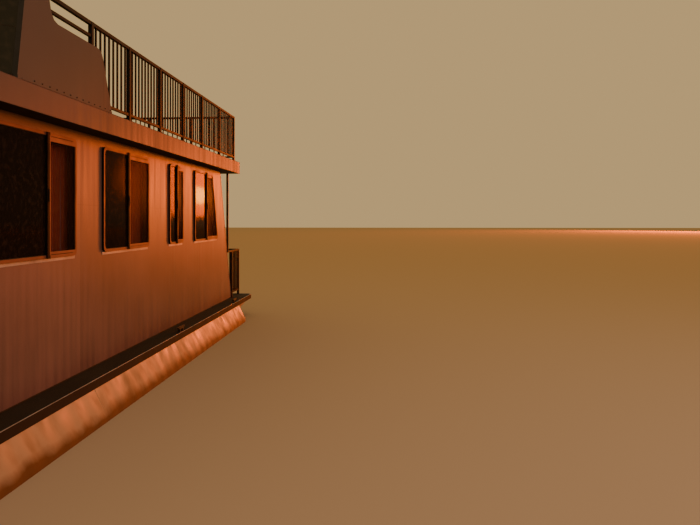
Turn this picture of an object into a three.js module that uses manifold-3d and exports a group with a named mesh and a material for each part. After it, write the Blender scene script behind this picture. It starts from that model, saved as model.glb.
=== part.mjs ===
// A two-level pontoon houseboat: twin hulls, a cabin with raked ends, and a railed upper deck.
// Millimetres. x runs to the bow from mid-length, y to port from the centreline, z up from the
// pontoon bottoms.
import * as THREE from "three";
import { ConvexGeometry } from "three/addons/geometries/ConvexGeometry.js";
import { mergeVertices } from "three/addons/utils/BufferGeometryUtils.js";
import Module from "manifold-3d";

const wasm = await Module();
wasm.setup();

// Driving dimensions
const SEAT = 0.3; // gap where two pieces meet
const HALF_LENGTH = 6100;
const HALF_BEAM = 2134;
const CHINE = 510;
const HULL_TOP = 746;
const HULL_AFT = -5080;
const DECK_TOP = 825;
const DECK_HALF = 2016;
const CABIN_HALF = 1750;
const WALL = 60;
const SOFFIT = 3125;
const ROOF_TOP = 3327;
const ROOF_HALF = 1973;
const ROOF_AFT = -5303;
const ROOF_FORE = 5100;
const AFT_WALL = { bottom: -5536, top: -4807, inward: 1 };
const FORE_WALL = { bottom: 3800, top: 3200, inward: -1 };

// Pontoons
const PONTOON_INNER = 1084;
const BILGE = 150;
const NOSE_START = 4300;
const NOSE_TIP = 5750;
const BRACKETS = [1250, 1900]; // under the stern deck, y

// Engine pod between the pontoons, and the engine in it
const POD = { half: 560, fore: -2900, keel: 200, plate: 30 };
const ENGINE = { aft: -4950, fore: -4100, half: 325, height: 450 };

// Deck frame
const BEAM_DROP = 120;
const CROSSBEAMS = [-2600, -1300, 0, 1300, 2600, 3900, 5200];
const CLEATS = [-4900, -2150, 4700];

// Side windows
const WINDOW_SILL = 1955;
const WINDOW_HEAD = 3038;
const FRAME = { rim: 28, proud: 24, lip: 7, corner: 60, lap: 12, rebate: 9 };
const STILE_DEPTH = 20; // of a divider, in front of the pane
const GLASS = 8;
// name, fore edge, aft edge at the head, aft edge at the sill, dividers as [fore, aft]
const WINDOWS = [
  ["saloon", 2290, 105, 105, [[1825, 1781], [614, 570]]],
  ["galley", -430, -1614, -1614, [[-989, -1031]]],
  ["washroom", -2310, -2850, -2850, [[-2543, -2585]]],
  ["cabin", -3362, -4285, -4590, [[-3904, -3946]]],
];

// Curtains behind the windows
const CURTAIN = { track: 3062, railHeight: 18, hem: 1905, thick: 14, standoff: 36, hang: 8 };
// fore edge, aft edge
const DRAPES = [[2240, 1800], [575, 110], [-1010, -1600], [-2300, -2870], [-3900, -4400]];

// Sliding doors on the raked walls
const DOOR = { half: 440, sill: 865, head: 2890, frame: 60, off: 5, leaf: 40, lip: 15, travel: 860 };
const DOORWAY = { half: 400, sill: 895, head: 2850 };
const DOOR_TRACK = { cover: 6, overrun: 20, height: 40 };

// Fixed panes beside the fore door: y spans, and depth in the wall
const FORE_PANES = [[650, 1500], [-1500, -650]];
const PANE_DEPTH = [20, 30];

// Railings
const POST = 38;
const BAR = 26;
const TOP_BAR = { width: 34, height: 32 };
const BALUSTER = { size: 16, pitch: 86 };
const UPPER_RAIL_Y = 1943;
const UPPER_RAIL = { foot: ROOF_TOP + SEAT, top: 4111, low: 3393 };
const UPPER_POSTS = [1120, 173, -638, -1499, -2311, -3125, -4051, -4967];
const MID_BAR = 3978; // beside the panel, in the first bay only
const RETURN_POST_Y = 1660;
const AFT_RAIL_POSTS = [-1050, -319, 412, 1180];
const DECK_RAIL = { foot: DECK_TOP + SEAT, top: 1711, low: 920 };
const BOW_RAIL = { x: 5950, side: [3880, 4320, 4950, 5740], front: [1733, 1080, 430], roofPost: 2 };
const STERN_RAIL = { x: -6070, side: -5560, start: -5200, back: [1005, 260], roofPost: -5280 };
const ROOF_POST = { bow: 50, stern: 34 };

// Gates: leaf between two posts, on two pinned hinges
const HINGE = { offset: 13, start: 24, pin: 6, bore: 6.5, knuckle: 12, height: 36, lug: 8 };

// Upper deck side panels and windscreen
const LEAN = Math.tan(THREE.MathUtils.degToRad(8.5));
const WING = { thick: 9, fore: 1330, top: 4450, ledge: 3892 };
const SCREEN = { side: [1322, ROOF_HALF], corner: [2017, 900], thick: 20, height: 1090 };

// Helm, heights above the upper deck
const CONSOLE = {
  half: 420, aft: 1450, dash: 700, brow: 960, top: 1040, fore: 1760, foot: 1900, run: 110, shelf: 170,
};
const WHEEL = { radius: 190, rim: 14, hub: 34, hubHalf: 20, standoff: 70, spoke: [26, 10] };
const BENCH = { half: 620, seat: 380, back: 860 };
const CUSHION = { half: 600, depth: 110, rise: 470, corner: 30 };

// Stern drive
const STEER_AXIS_X = -5225;
const TRIM_AXIS = { x: -5300, z: 500 };
const PIN = { radius: 18, bore: 18.6 }; // of the steering and trim pins
const SHAFT = { radius: 14, bore: 14.7 }; // of the propeller's shaft
const MOUNT = { thick: 60, half: 180, z: [330, 722], lugHalf: 70, lugs: [[352, 392], [680, 716]] };
const GIMBAL = { half: 60, z: [400, 672], pin: [354, 714], boss: 45, bossHalf: 95, pinHalf: 140 };
const LEG_ARM = [100, 135]; // y either side, on the trim pin
const GEARCASE = { radius: 48, aft: -300, fore: -90 };
const PROP = { radius: 165, hub: 38, below: 310, start: 305, length: 112, blade: 9, twist: 62 };

// Ladder from the stern deck to the upper deck
const LADDER = {
  foot: -5840, y0: -1610, y1: -1110, stringer: 40, plank: 25, tread: [-45, 35], treads: 8,
};
const NOTCH = { x: -5010, y0: -1640, y1: -1080 };

// Finishes: colour, roughness, metalness
const FINISH = {
  hull_plate: [0xa88458, 0.42, 0.6],
  deck_coat: [0x3a3028, 0.85, 0.0],
  wall_panel: [0x9c5c38, 0.4, 0.1],
  roof_fascia: [0x7d432b, 0.5, 0.1],
  wing_panel: [0x54392c, 0.5, 0.1],
  black_rail: [0x15110f, 0.45, 0.2],
  window_frame: [0x8f7a66, 0.4, 0.8],
  tinted_glass: [0x14100e, 0.08, 0.0],
  curtain_cloth: [0x6d2a18, 0.9, 0.0],
  engine_block: [0x3c3f42, 0.6, 0.4],
  drive_paint: [0x26282b, 0.4, 0.2],
  prop_metal: [0x9a9ca0, 0.35, 0.9],
  console_shell: [0xb9a78f, 0.35, 0.0],
  seat_vinyl: [0xc9b595, 0.6, 0.0],
  ladder_tube: [0xa9a39a, 0.35, 0.9],
};

// Solids from three.js shapes
function solid(geometry) {
  const bare = geometry.index ? geometry.toNonIndexed() : geometry.clone();
  bare.deleteAttribute("normal");
  bare.deleteAttribute("uv");
  const merged = mergeVertices(bare, 1e-3);
  return new wasm.Manifold(
    new wasm.Mesh({
      numProp: 3,
      vertProperties: merged.attributes.position.array,
      triVerts: new Uint32Array(merged.index.array),
    }),
  );
}

function join(solids) {
  return solids.reduce((whole, next) => whole.add(next));
}

function cut(whole, solids) {
  return solids.reduce((rest, next) => rest.subtract(next), whole);
}

function box([x0, x1], [y0, y1], [z0, z1]) {
  const block = new THREE.BoxGeometry(x1 - x0, y1 - y0, z1 - z0);
  return solid(block.translate((x0 + x1) / 2, (y0 + y1) / 2, (z0 + z1) / 2));
}

function shapeOf(outline) {
  if (outline instanceof THREE.Shape) return outline;
  return new THREE.Shape(outline.map(([u, v]) => new THREE.Vector2(u, v)));
}

function extrude(outline, depth) {
  const settings = { depth, bevelEnabled: false, curveSegments: 3 };
  return new THREE.ExtrudeGeometry(shapeOf(outline), settings);
}

// An outline in (x, z) drawn out along y
function prismY(outline, [y0, y1]) {
  return solid(extrude(outline, y1 - y0).rotateX(Math.PI / 2).translate(0, y1, 0));
}

// An outline in (y, z) drawn out along x
function prismX(outline, [x0, x1]) {
  const turn = new THREE.Matrix4().makeBasis(
    new THREE.Vector3(0, 1, 0),
    new THREE.Vector3(0, 0, 1),
    new THREE.Vector3(1, 0, 0),
  );
  return solid(extrude(outline, x1 - x0).applyMatrix4(turn).translate(x0, 0, 0));
}

// An outline in (x, y) drawn out along z
function prismZ(outline, [z0, z1]) {
  return solid(extrude(outline, z1 - z0).translate(0, 0, z0));
}

// A round bar along an axis, "x", "y" or "z", between two places on it
function rod(axis, radius, [from, to], [a, b], sides = 16) {
  const bar = new THREE.CylinderGeometry(radius, radius, to - from, sides);
  const middle = (from + to) / 2;
  if (axis === "x") return solid(bar.rotateZ(Math.PI / 2).translate(middle, a, b));
  if (axis === "y") return solid(bar.translate(a, middle, b));
  return solid(bar.rotateX(Math.PI / 2).translate(a, b, middle));
}

// A level bar between two plan points, with its middle at height z
function bar([xa, ya], [xb, yb], z, width, height) {
  const beam = new THREE.BoxGeometry(Math.hypot(xb - xa, yb - ya), width, height);
  beam.rotateZ(Math.atan2(yb - ya, xb - xa));
  return solid(beam.translate((xa + xb) / 2, (ya + yb) / 2, z));
}

function pillar([x, y], [z0, z1], size) {
  const half = size / 2;
  return box([x - half, x + half], [y - half, y + half], [z0, z1]);
}

// A convex outline moved inwards by a distance, given in its turning order
function inset(outline, distance) {
  const area = THREE.ShapeUtils.area(outline.map(([u, v]) => new THREE.Vector2(u, v)));
  const shift = Math.sign(area) * distance;
  const edges = outline.map(([u, v], i) => {
    const [nu, nv] = outline[(i + 1) % outline.length];
    const length = Math.hypot(nu - u, nv - v);
    const normal = [-(nv - v) / length, (nu - u) / length];
    return { normal, reach: normal[0] * u + normal[1] * v + shift };
  });
  return edges.map((edge, i) => {
    const before = edges[(i + edges.length - 1) % edges.length];
    const [a, b] = before.normal;
    const [c, d] = edge.normal;
    const det = a * d - b * c;
    return [(before.reach * d - b * edge.reach) / det, (a * edge.reach - before.reach * c) / det];
  });
}

// A convex outline with its corners rounded off
function rounded(outline, radius) {
  const corners = outline.map(([u, v]) => new THREE.Vector2(u, v));
  const shape = new THREE.Shape();
  corners.forEach((corner, i) => {
    const before = corners[(i + corners.length - 1) % corners.length];
    const after = corners[(i + 1) % corners.length];
    const enter = corner.clone().add(before.clone().sub(corner).setLength(radius));
    const leave = corner.clone().add(after.clone().sub(corner).setLength(radius));
    if (i === 0) shape.moveTo(enter.x, enter.y);
    else shape.lineTo(enter.x, enter.y);
    shape.quadraticCurveTo(corner.x, corner.y, leave.x, leave.y);
  });
  shape.closePath();
  return shape;
}

// Where a raked wall's outer face stands at a height
function wallX(wall, z) {
  const share = (z - DECK_TOP) / (SOFFIT - DECK_TOP);
  return wall.bottom + (wall.top - wall.bottom) * share;
}

// A block between two depths inside a raked wall's outer face
function raked(wall, [d0, d1], [y0, y1], [z0, z1]) {
  const at = (depth, z) => [wallX(wall, z) + wall.inward * depth, z];
  return prismY([at(d0, z0), at(d1, z0), at(d1, z1), at(d0, z1)], [y0, y1]);
}

// A ring block on a raked wall, open in the middle
function rakedRing(wall, depths, [y0, y1], [z0, z1], rim) {
  const hole = raked(wall, [depths[0] - 1, depths[1] + 1], [y0 + rim, y1 - rim], [z0 + rim, z1 - rim]);
  return cut(raked(wall, depths, [y0, y1], [z0, z1]), [hole]);
}

function piece(name, whole, finish) {
  const { vertProperties, triVerts } = whole.getMesh();
  const geometry = new THREE.BufferGeometry();
  geometry.setAttribute("position", new THREE.BufferAttribute(vertProperties, 3));
  geometry.setIndex(new THREE.BufferAttribute(triVerts, 1));
  geometry.computeVertexNormals();
  const [color, roughness, metalness] = FINISH[finish];
  const material = new THREE.MeshStandardMaterial({ color, roughness, metalness });
  const mesh = new THREE.Mesh(geometry, material);
  mesh.name = name;
  return mesh;
}

// Hull
function pontoon() {
  const top = HULL_TOP - SEAT;
  const section = [
    [DECK_HALF, top],
    [HALF_BEAM, CHINE],
    [HALF_BEAM, BILGE],
    [HALF_BEAM - BILGE, 0],
    [PONTOON_INNER + BILGE, 0],
    [PONTOON_INNER, BILGE],
    [PONTOON_INNER, top],
  ];
  const tip = [[1930, top], [1965, 640], [1890, 480], [1290, 480], [1250, 600], [1250, top]];
  const nose = new ConvexGeometry([
    ...section.map(([y, z]) => new THREE.Vector3(NOSE_START, y, z)),
    ...tip.map(([y, z]) => new THREE.Vector3(NOSE_TIP, y, z)),
  ]);
  const brackets = BRACKETS.map((y) =>
    prismY(
      [[HULL_AFT + 5, top], [HULL_AFT + 5, 560], [-5980, 690], [-5980, top]],
      [y - 20, y + 20],
    ),
  );
  return join([prismX(section, [HULL_AFT, NOSE_START]), solid(nose), ...brackets]);
}

function podOutline(plate) {
  const top = HULL_TOP - SEAT;
  return [
    [HULL_AFT + plate, POD.keel + plate],
    [POD.fore - 500 - plate, POD.keel + plate],
    [POD.fore - plate, POD.keel + 300 + plate],
    [POD.fore - plate, plate ? top + 1 : top],
    [HULL_AFT + plate, plate ? top + 1 : top],
  ];
}

function enginePod() {
  const inner = POD.half - POD.plate;
  const shell = prismY(podOutline(0), [-POD.half, POD.half]);
  return cut(shell, [prismY(podOutline(POD.plate), [-inner, inner])]);
}

function engineBlock() {
  const floor = POD.keel + POD.plate + SEAT;
  const sump = box([ENGINE.aft, ENGINE.fore], [-180, 180], [floor, floor + 150]);
  const block = box(
    [ENGINE.aft, ENGINE.fore],
    [-ENGINE.half, ENGINE.half],
    [floor + 150, floor + ENGINE.height],
  );
  return join([sump, block]);
}

function cleat(x, y) {
  const feet = [-50, 50].map((dx) =>
    box([x + dx - 12, x + dx + 12], [y - 14, y + 14], [DECK_TOP - 5, DECK_TOP + 45]),
  );
  const horn = prismY(
    [[x - 125, DECK_TOP + 62], [x - 70, DECK_TOP + 36], [x + 70, DECK_TOP + 36],
      [x + 125, DECK_TOP + 62], [x + 60, DECK_TOP + 66], [x - 60, DECK_TOP + 66]],
    [y - 15, y + 15],
  );
  return join([...feet, horn]);
}

function mainDeck() {
  const bow = 350;
  const stern = 60;
  const outline = [
    [-HALF_LENGTH, -DECK_HALF + stern],
    [-HALF_LENGTH + stern, -DECK_HALF],
    [HALF_LENGTH - bow, -DECK_HALF],
    [HALF_LENGTH, -DECK_HALF + bow],
    [HALF_LENGTH, DECK_HALF - bow],
    [HALF_LENGTH - bow, DECK_HALF],
    [-HALF_LENGTH + stern, DECK_HALF],
    [-HALF_LENGTH, DECK_HALF - stern],
  ];
  const slab = prismZ(outline, [HULL_TOP, DECK_TOP]);
  const reach = PONTOON_INNER - SEAT;
  const under = [HULL_TOP - BEAM_DROP, HULL_TOP + 10];
  const beams = CROSSBEAMS.map((x) => box([x - 40, x + 40], [-reach, reach], under));
  const cleats = CLEATS.flatMap((x) => [cleat(x, 1975), cleat(x, -1975)]);
  return join([slab, ...beams, ...cleats]);
}

// Cabin
function windowOutline([, fore, headAft, sillAft], margin = 0) {
  const corners = [
    [fore, WINDOW_SILL],
    [fore, WINDOW_HEAD],
    [headAft, WINDOW_HEAD],
    [sillAft, WINDOW_SILL],
  ];
  return margin === 0 ? corners : inset(corners, margin);
}

function windowShape(window, margin) {
  return rounded(windowOutline(window, margin), FRAME.corner - margin / 4);
}

function cabinSide() {
  const [foot, head] = [DECK_TOP + SEAT, SOFFIT - SEAT];
  const panel = prismY(
    [
      [wallX(AFT_WALL, foot), foot],
      [wallX(FORE_WALL, foot), foot],
      [wallX(FORE_WALL, head), head],
      [wallX(AFT_WALL, head), head],
    ],
    [CABIN_HALF - WALL, CABIN_HALF],
  );
  const through = [CABIN_HALF - WALL - 1, CABIN_HALF + 1];
  return cut(panel, WINDOWS.map((window) => prismY(windowShape(window, FRAME.lap), through)));
}

// Frame of a side window, y measured from the wall's outer face
function windowFrame(window) {
  const lipBack = FRAME.proud - FRAME.lip;
  const lip = prismY(windowShape(window, 0), [lipBack, FRAME.proud]);
  const rim = prismY(windowShape(window, 0), [SEAT, lipBack + 1]);
  const sleeve = prismY(windowShape(window, FRAME.lap + SEAT), [-WALL, SEAT + 1]);
  const opening = prismY(windowShape(window, FRAME.rim), [-WALL - 1, FRAME.proud + 1]);
  const rebate = prismY(windowShape(window, FRAME.rim - FRAME.rebate), [-WALL - 1, lipBack]);
  const [, , , , dividers] = window;
  const stiles = dividers.map(([fore, aft]) =>
    box([aft, fore], [lipBack, lipBack + STILE_DEPTH], [WINDOW_SILL, WINDOW_HEAD]),
  );
  return join([cut(join([lip, rim, sleeve]), [opening, rebate]), ...stiles]);
}

function windowPane(window) {
  const front = FRAME.proud - FRAME.lip - SEAT;
  const shape = windowShape(window, FRAME.rim - FRAME.rebate + SEAT);
  return prismY(shape, [front - GLASS, front]);
}

function curtains() {
  const { track, railHeight, hem, thick, standoff, hang } = CURTAIN;
  const back = CABIN_HALF - WALL - SEAT;
  const inside = back - standoff - hang;
  const rail = box([-4500, 2260], [inside, back], [track, track + railHeight]);
  const drapes = DRAPES.map(([fore, aft]) =>
    box([aft, fore], [inside, inside + thick], [hem, track + 1]),
  );
  return join([rail, ...drapes]);
}

// End wall between the side walls, with its doorway and the sliding door's two tracks
function endWall(wall, panes) {
  const half = CABIN_HALF - WALL - SEAT;
  const slab = raked(wall, [0, WALL], [-half, half], [DECK_TOP + SEAT, SOFFIT - SEAT]);
  const through = [-1, WALL + 1];
  const holes = [
    raked(wall, through, [-DOORWAY.half, DOORWAY.half], [DOORWAY.sill, DOORWAY.head]),
    ...panes.map((y) => raked(wall, through, y, [WINDOW_SILL, DOORWAY.head])),
  ];
  const { cover, overrun, height } = DOOR_TRACK;
  const run = [-DOOR.half - overrun, DOOR.half + DOOR.travel + overrun];
  const depth = [-DOOR.off - DOOR.leaf - cover, 1];
  const tracks = [
    raked(wall, depth, run, [DECK_TOP + SEAT, DOOR.sill - SEAT]),
    raked(wall, depth, run, [DOOR.head + SEAT, DOOR.head + height]),
  ];
  return join([cut(slab, holes), ...tracks]);
}

function endPane(wall, [y0, y1]) {
  const y = [y0 + SEAT, y1 - SEAT];
  return raked(wall, PANE_DEPTH, y, [WINDOW_SILL + SEAT, DOORWAY.head - SEAT]);
}

function doorFrame(wall) {
  const outer = -DOOR.off - DOOR.leaf;
  const { half, sill, head, frame } = DOOR;
  const ring = rakedRing(wall, [outer, -DOOR.off], [-half, half], [sill, head], frame);
  const edge = frame - FRAME.rebate;
  const y = [-half + edge, half - edge];
  const depth = [outer + DOOR.lip, -DOOR.off + 1];
  return cut(ring, [raked(wall, depth, y, [sill + edge, head - edge])]);
}

function doorPane(wall) {
  const front = -DOOR.off - DOOR.leaf + DOOR.lip + SEAT;
  const edge = DOOR.frame - FRAME.rebate + SEAT;
  return raked(
    wall,
    [front, front + GLASS],
    [-DOOR.half + edge, DOOR.half - edge],
    [DOOR.sill + edge, DOOR.head - edge],
  );
}

function roof() {
  const chamfer = 180;
  const slab = prismZ(
    [
      [ROOF_AFT, -ROOF_HALF],
      [ROOF_FORE - chamfer, -ROOF_HALF],
      [ROOF_FORE, -ROOF_HALF + chamfer],
      [ROOF_FORE, ROOF_HALF - chamfer],
      [ROOF_FORE - chamfer, ROOF_HALF],
      [ROOF_AFT, ROOF_HALF],
    ],
    [SOFFIT, ROOF_TOP],
  );
  const notch = box([ROOF_AFT - 1, NOTCH.x], [NOTCH.y0, NOTCH.y1], [SOFFIT - 1, ROOF_TOP + 1]);
  return cut(slab, [notch]);
}

// Balusters in the bays between posts, from the low bar to the top bar
function balusters(posts, { top, low }) {
  return posts.slice(1).flatMap(([x, y], i) => {
    const [x0, y0] = posts[i];
    const gaps = Math.round(Math.hypot(x - x0, y - y0) / BALUSTER.pitch);
    return Array.from({ length: gaps - 1 }, (_, k) => {
      const share = (k + 1) / gaps;
      const at = [x0 + (x - x0) * share, y0 + (y - y0) * share];
      return pillar(at, [low, top - TOP_BAR.height / 2], BALUSTER.size);
    });
  });
}

// The low bar and the top bar along a path
function rails(path, { top, low }, topWidth) {
  return path.slice(1).flatMap((to, i) => [
    bar(path[i], to, low, BAR, BAR),
    bar(path[i], to, top - TOP_BAR.height / 2, topWidth, TOP_BAR.height),
  ]);
}

// Railings: rails along a path, posts on it, and balusters between the posts of the filled run
function railing(path, posts, spec, filled) {
  const pillars = posts.map((at) => pillar(at, [spec.foot, spec.top], POST));
  return join([...pillars, ...rails(path, spec, TOP_BAR.width), ...balusters(filled, spec)]);
}

// Hinge lugs and pins on a gate post; the hinge line is at the origin, the post on its +y side
function hingePins(heights) {
  return join(heights.map((z) => {
    const lug = box([-13, 13], [-13, HINGE.offset + 1], [z - HINGE.lug, z]);
    return join([lug, rod("z", HINGE.pin, [z - 1, z + HINGE.height + 2], [0, 0])]);
  }));
}

// Gate leaf along -y from the hinge line
function gateLeaf(width, spec, heights) {
  const start = -HINGE.start - BAR / 2;
  const path = [[0, start], [0, -width + BAR / 2]];
  const stiles = path.map((at) => pillar(at, [spec.low - BAR / 2, spec.top], BAR));
  const knuckles = heights.map((z) => {
    const span = [z + SEAT, z + HINGE.height];
    const arm = box([-6, 6], [start, 0], span);
    return cut(join([rod("z", HINGE.knuckle, span, [0, 0]), arm]), [
      rod("z", HINGE.bore, [z - 1, z + HINGE.height + 1], [0, 0]),
    ]);
  });
  return join([...stiles, ...rails(path, spec, BAR), ...balusters(path, spec), ...knuckles]);
}

const UPPER_HINGES = [3480, 3860];
const DECK_HINGES = [1000, 1560];
// name, hinge line x and y, leaf width, railing, hinge heights
const GATES = {
  bow: { at: [BOW_RAIL.x, 398], width: 801, rail: DECK_RAIL, hinges: DECK_HINGES },
  stern: { at: [STERN_RAIL.x, 228], width: 461, rail: DECK_RAIL, hinges: DECK_HINGES },
  roof: { at: [-4967, -1082], width: 551, rail: UPPER_RAIL, hinges: UPPER_HINGES },
};

function hingedTo(railWork, { at: [x, y], hinges }) {
  return join([railWork, hingePins(hinges).translate([x, y, 0])]);
}

function upperRail(withReturn) {
  const posts = UPPER_POSTS.map((x) => [x, UPPER_RAIL_Y]);
  const aft = posts[posts.length - 1];
  const back = withReturn ? [[aft[0], RETURN_POST_Y]] : [];
  const filled = [...posts.slice(1), ...back];
  const work = railing([posts[0], aft, ...back], [...posts, ...back], UPPER_RAIL, filled);
  return join([work, bar(posts[0], posts[1], MID_BAR, BAR, BAR)]);
}

function aftRail() {
  const x = UPPER_POSTS[UPPER_POSTS.length - 1];
  const posts = AFT_RAIL_POSTS.map((y) => [x, y]);
  const end = [x, UPPER_RAIL_Y - POST / 2 - SEAT];
  const work = railing([posts[0], end], posts, UPPER_RAIL, [...posts, end]);
  return hingedTo(work, GATES.roof);
}

function bowRail(hinged) {
  const side = BOW_RAIL.side.map((x) => [x, UPPER_RAIL_Y]);
  const front = BOW_RAIL.front.map((y) => [BOW_RAIL.x, y]);
  const posts = [...side, ...front];
  const path = [side[0], side[side.length - 1], front[0], front[front.length - 1]];
  const roofPost = pillar(side[BOW_RAIL.roofPost], [DECK_RAIL.foot, SOFFIT - SEAT], ROOF_POST.bow);
  const whole = join([railing(path, posts, DECK_RAIL, posts), roofPost]);
  return hinged ? hingedTo(whole, GATES.bow) : whole;
}

function sternRail(hinged) {
  const y = CABIN_HALF;
  const { x, side, start, back } = STERN_RAIL;
  const posts = [[side, y], [x, y], ...back.map((at) => [x, at])];
  const path = [[start, y], posts[1], posts[posts.length - 1]];
  const beyond = raked(AFT_WALL, [-SEAT, 700], [y - 150, y + 150], [DECK_TOP - 1, DECK_RAIL.top + 1]);
  const work = cut(railing(path, posts, DECK_RAIL, posts), [beyond]);
  const span = [DECK_RAIL.top - 5, SOFFIT - SEAT];
  const roofPost = pillar([STERN_RAIL.roofPost, y], span, ROOF_POST.stern);
  const whole = join([work, roofPost]);
  return hinged ? hingedTo(whole, GATES.stern) : whole;
}

// Upper deck side panel: low aft part, then swept up to the windscreen
function wing() {
  const shape = new THREE.Shape();
  shape.moveTo(-188, ROOF_TOP + SEAT);
  shape.lineTo(WING.fore, ROOF_TOP + SEAT);
  shape.lineTo(WING.fore - (WING.top - ROOF_TOP) * LEAN, WING.top);
  shape.lineTo(1010, WING.top);
  shape.quadraticCurveTo(935, 4220, 905, 4047);
  shape.quadraticCurveTo(878, WING.ledge, 780, WING.ledge);
  shape.lineTo(110, WING.ledge);
  shape.quadraticCurveTo(25, WING.ledge, -6, 3810);
  shape.closePath();
  return prismY(shape, [ROOF_HALF - WING.thick, ROOF_HALF]);
}

// A strip of even thickness along a plan path, laid off on its right-hand side
function strip(path, thickness) {
  const normals = path.slice(1).map(([x, y], i) => {
    const run = new THREE.Vector2(x - path[i][0], y - path[i][1]).normalize();
    return new THREE.Vector2(run.y, -run.x);
  });
  const offsets = path.map(([x, y], i) => {
    const before = normals[Math.max(i - 1, 0)];
    const after = normals[Math.min(i, normals.length - 1)];
    const mitre = before.clone().add(after);
    mitre.multiplyScalar(thickness / mitre.dot(before));
    return [x + mitre.x, y + mitre.y];
  });
  return [...path, ...offsets.reverse()];
}

function windscreen() {
  const { side, corner } = SCREEN;
  const path = [side, corner, [corner[0], -corner[1]], [side[0], -side[1]]];
  const lean = new THREE.Matrix4().makeShear(0, 0, 0, 0, -LEAN, 0);
  const place = (outline, height) =>
    solid(extrude(outline, height).applyMatrix4(lean).translate(0, 0, ROOF_TOP + SEAT));
  const aft = WING.fore + SEAT;
  const behind = [[0, -2000], [aft, -2000], [aft, 2000], [0, 2000]];
  return cut(place(strip(path, SCREEN.thick), SCREEN.height), [place(behind, SCREEN.height + 1)]);
}

// Helm
function consoleShell() {
  const { aft, dash, brow, top, fore, foot, run, shelf, half } = CONSOLE;
  const base = ROOF_TOP + SEAT;
  const profile = [
    [aft, base],
    [foot, base],
    [fore, base + top],
    [aft + shelf, base + top],
    [aft + run, base + brow],
    [aft, base + dash],
  ];
  return prismY(profile, [-half, half]);
}

function helmWheel() {
  const { radius, rim, hub, hubHalf, standoff, spoke } = WHEEL;
  const ring = solid(new THREE.TorusGeometry(radius, rim, 8, 24));
  const boss = rod("z", hub, [-hubHalf, hubHalf], [0, 0]);
  const shaft = rod("z", SHAFT.radius, [-standoff + SEAT, 0], [0, 0]);
  const spokes = [0, 1, 2].map((i) => {
    const arm = new THREE.BoxGeometry(radius, ...spoke).translate(radius / 2, 0, 0);
    return solid(arm.rotateZ((i * 2 * Math.PI) / 3));
  });
  return join([ring, boss, shaft, ...spokes]);
}

function bench() {
  const base = ROOF_TOP + SEAT;
  const profile = [
    [360, base],
    [900, base],
    [900, base + BENCH.seat],
    [420, base + BENCH.seat],
    [370, base + BENCH.back],
    [330, base + BENCH.back],
    [360, base + BENCH.seat],
  ];
  return prismY(profile, [-BENCH.half, BENCH.half]);
}

function seatCushion() {
  const base = ROOF_TOP + 2 * SEAT + BENCH.seat;
  const top = base + CUSHION.depth;
  const profile = rounded([[520, base], [905, base], [905, top], [520, top]], CUSHION.corner);
  return prismY(profile, [-CUSHION.half, CUSHION.half]);
}

function backCushion() {
  const base = ROOF_TOP + 2 * SEAT + BENCH.seat;
  const top = base + CUSHION.rise;
  const profile = rounded([[422, base], [510, base], [465, top], [373, top]], CUSHION.corner);
  return prismY(profile, [-CUSHION.half, CUSHION.half]);
}

// Ladder, leaning with the aft wall
function ladder() {
  const slope = (AFT_WALL.top - AFT_WALL.bottom) / (SOFFIT - DECK_TOP);
  const { foot, y0, y1, stringer, plank, tread, treads } = LADDER;
  const x = (z) => foot + slope * (z - DECK_TOP);
  const half = stringer / 2;
  const [low, high] = [DECK_TOP + SEAT, ROOF_TOP + 40];
  const profile = [
    [x(low) - half, low],
    [x(low) + half, low],
    [x(high) + half, high],
    [x(high) - half, high],
  ];
  const stringers = [[y0, y0 + plank], [y1 - plank, y1]];
  const rise = (ROOF_TOP - DECK_TOP) / (treads + 1);
  const steps = Array.from({ length: treads }, (_, i) => {
    const z = DECK_TOP + rise * (i + 1);
    return box([x(z) + tread[0], x(z) + tread[1]], [y0 + 10, y1 - 10], [z - plank, z]);
  });
  const ties = stringers.map((y) =>
    box([x(ROOF_TOP - 80), NOTCH.x - SEAT], y, [ROOF_TOP - 100, ROOF_TOP - 60]),
  );
  return join([...stringers.map((y) => prismY(profile, y)), ...steps, ...ties]);
}

// Stern drive
function driveMount() {
  const { thick, half, z, lugHalf, lugs } = MOUNT;
  const plate = box([HULL_AFT - thick, HULL_AFT - SEAT], [-half, half], z);
  const eyes = lugs.map(([low, high]) =>
    cut(box([STEER_AXIS_X - 50, HULL_AFT - thick + 10], [-lugHalf, lugHalf], [low, high]), [
      rod("z", PIN.bore, [low - 1, high + 1], [STEER_AXIS_X, 0]),
    ]),
  );
  return join([plate, ...eyes]);
}

function driveGimbal() {
  const { half, z, pin, boss, bossHalf, pinHalf } = GIMBAL;
  const trim = [TRIM_AXIS.x, TRIM_AXIS.z];
  return join([
    box([STEER_AXIS_X - 50, STEER_AXIS_X + 50], [-half, half], z),
    rod("z", PIN.radius, pin, [STEER_AXIS_X, 0]),
    rod("y", boss, [-bossHalf, bossHalf], trim),
    rod("y", PIN.radius, [-pinHalf, pinHalf], trim),
  ]);
}

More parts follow.
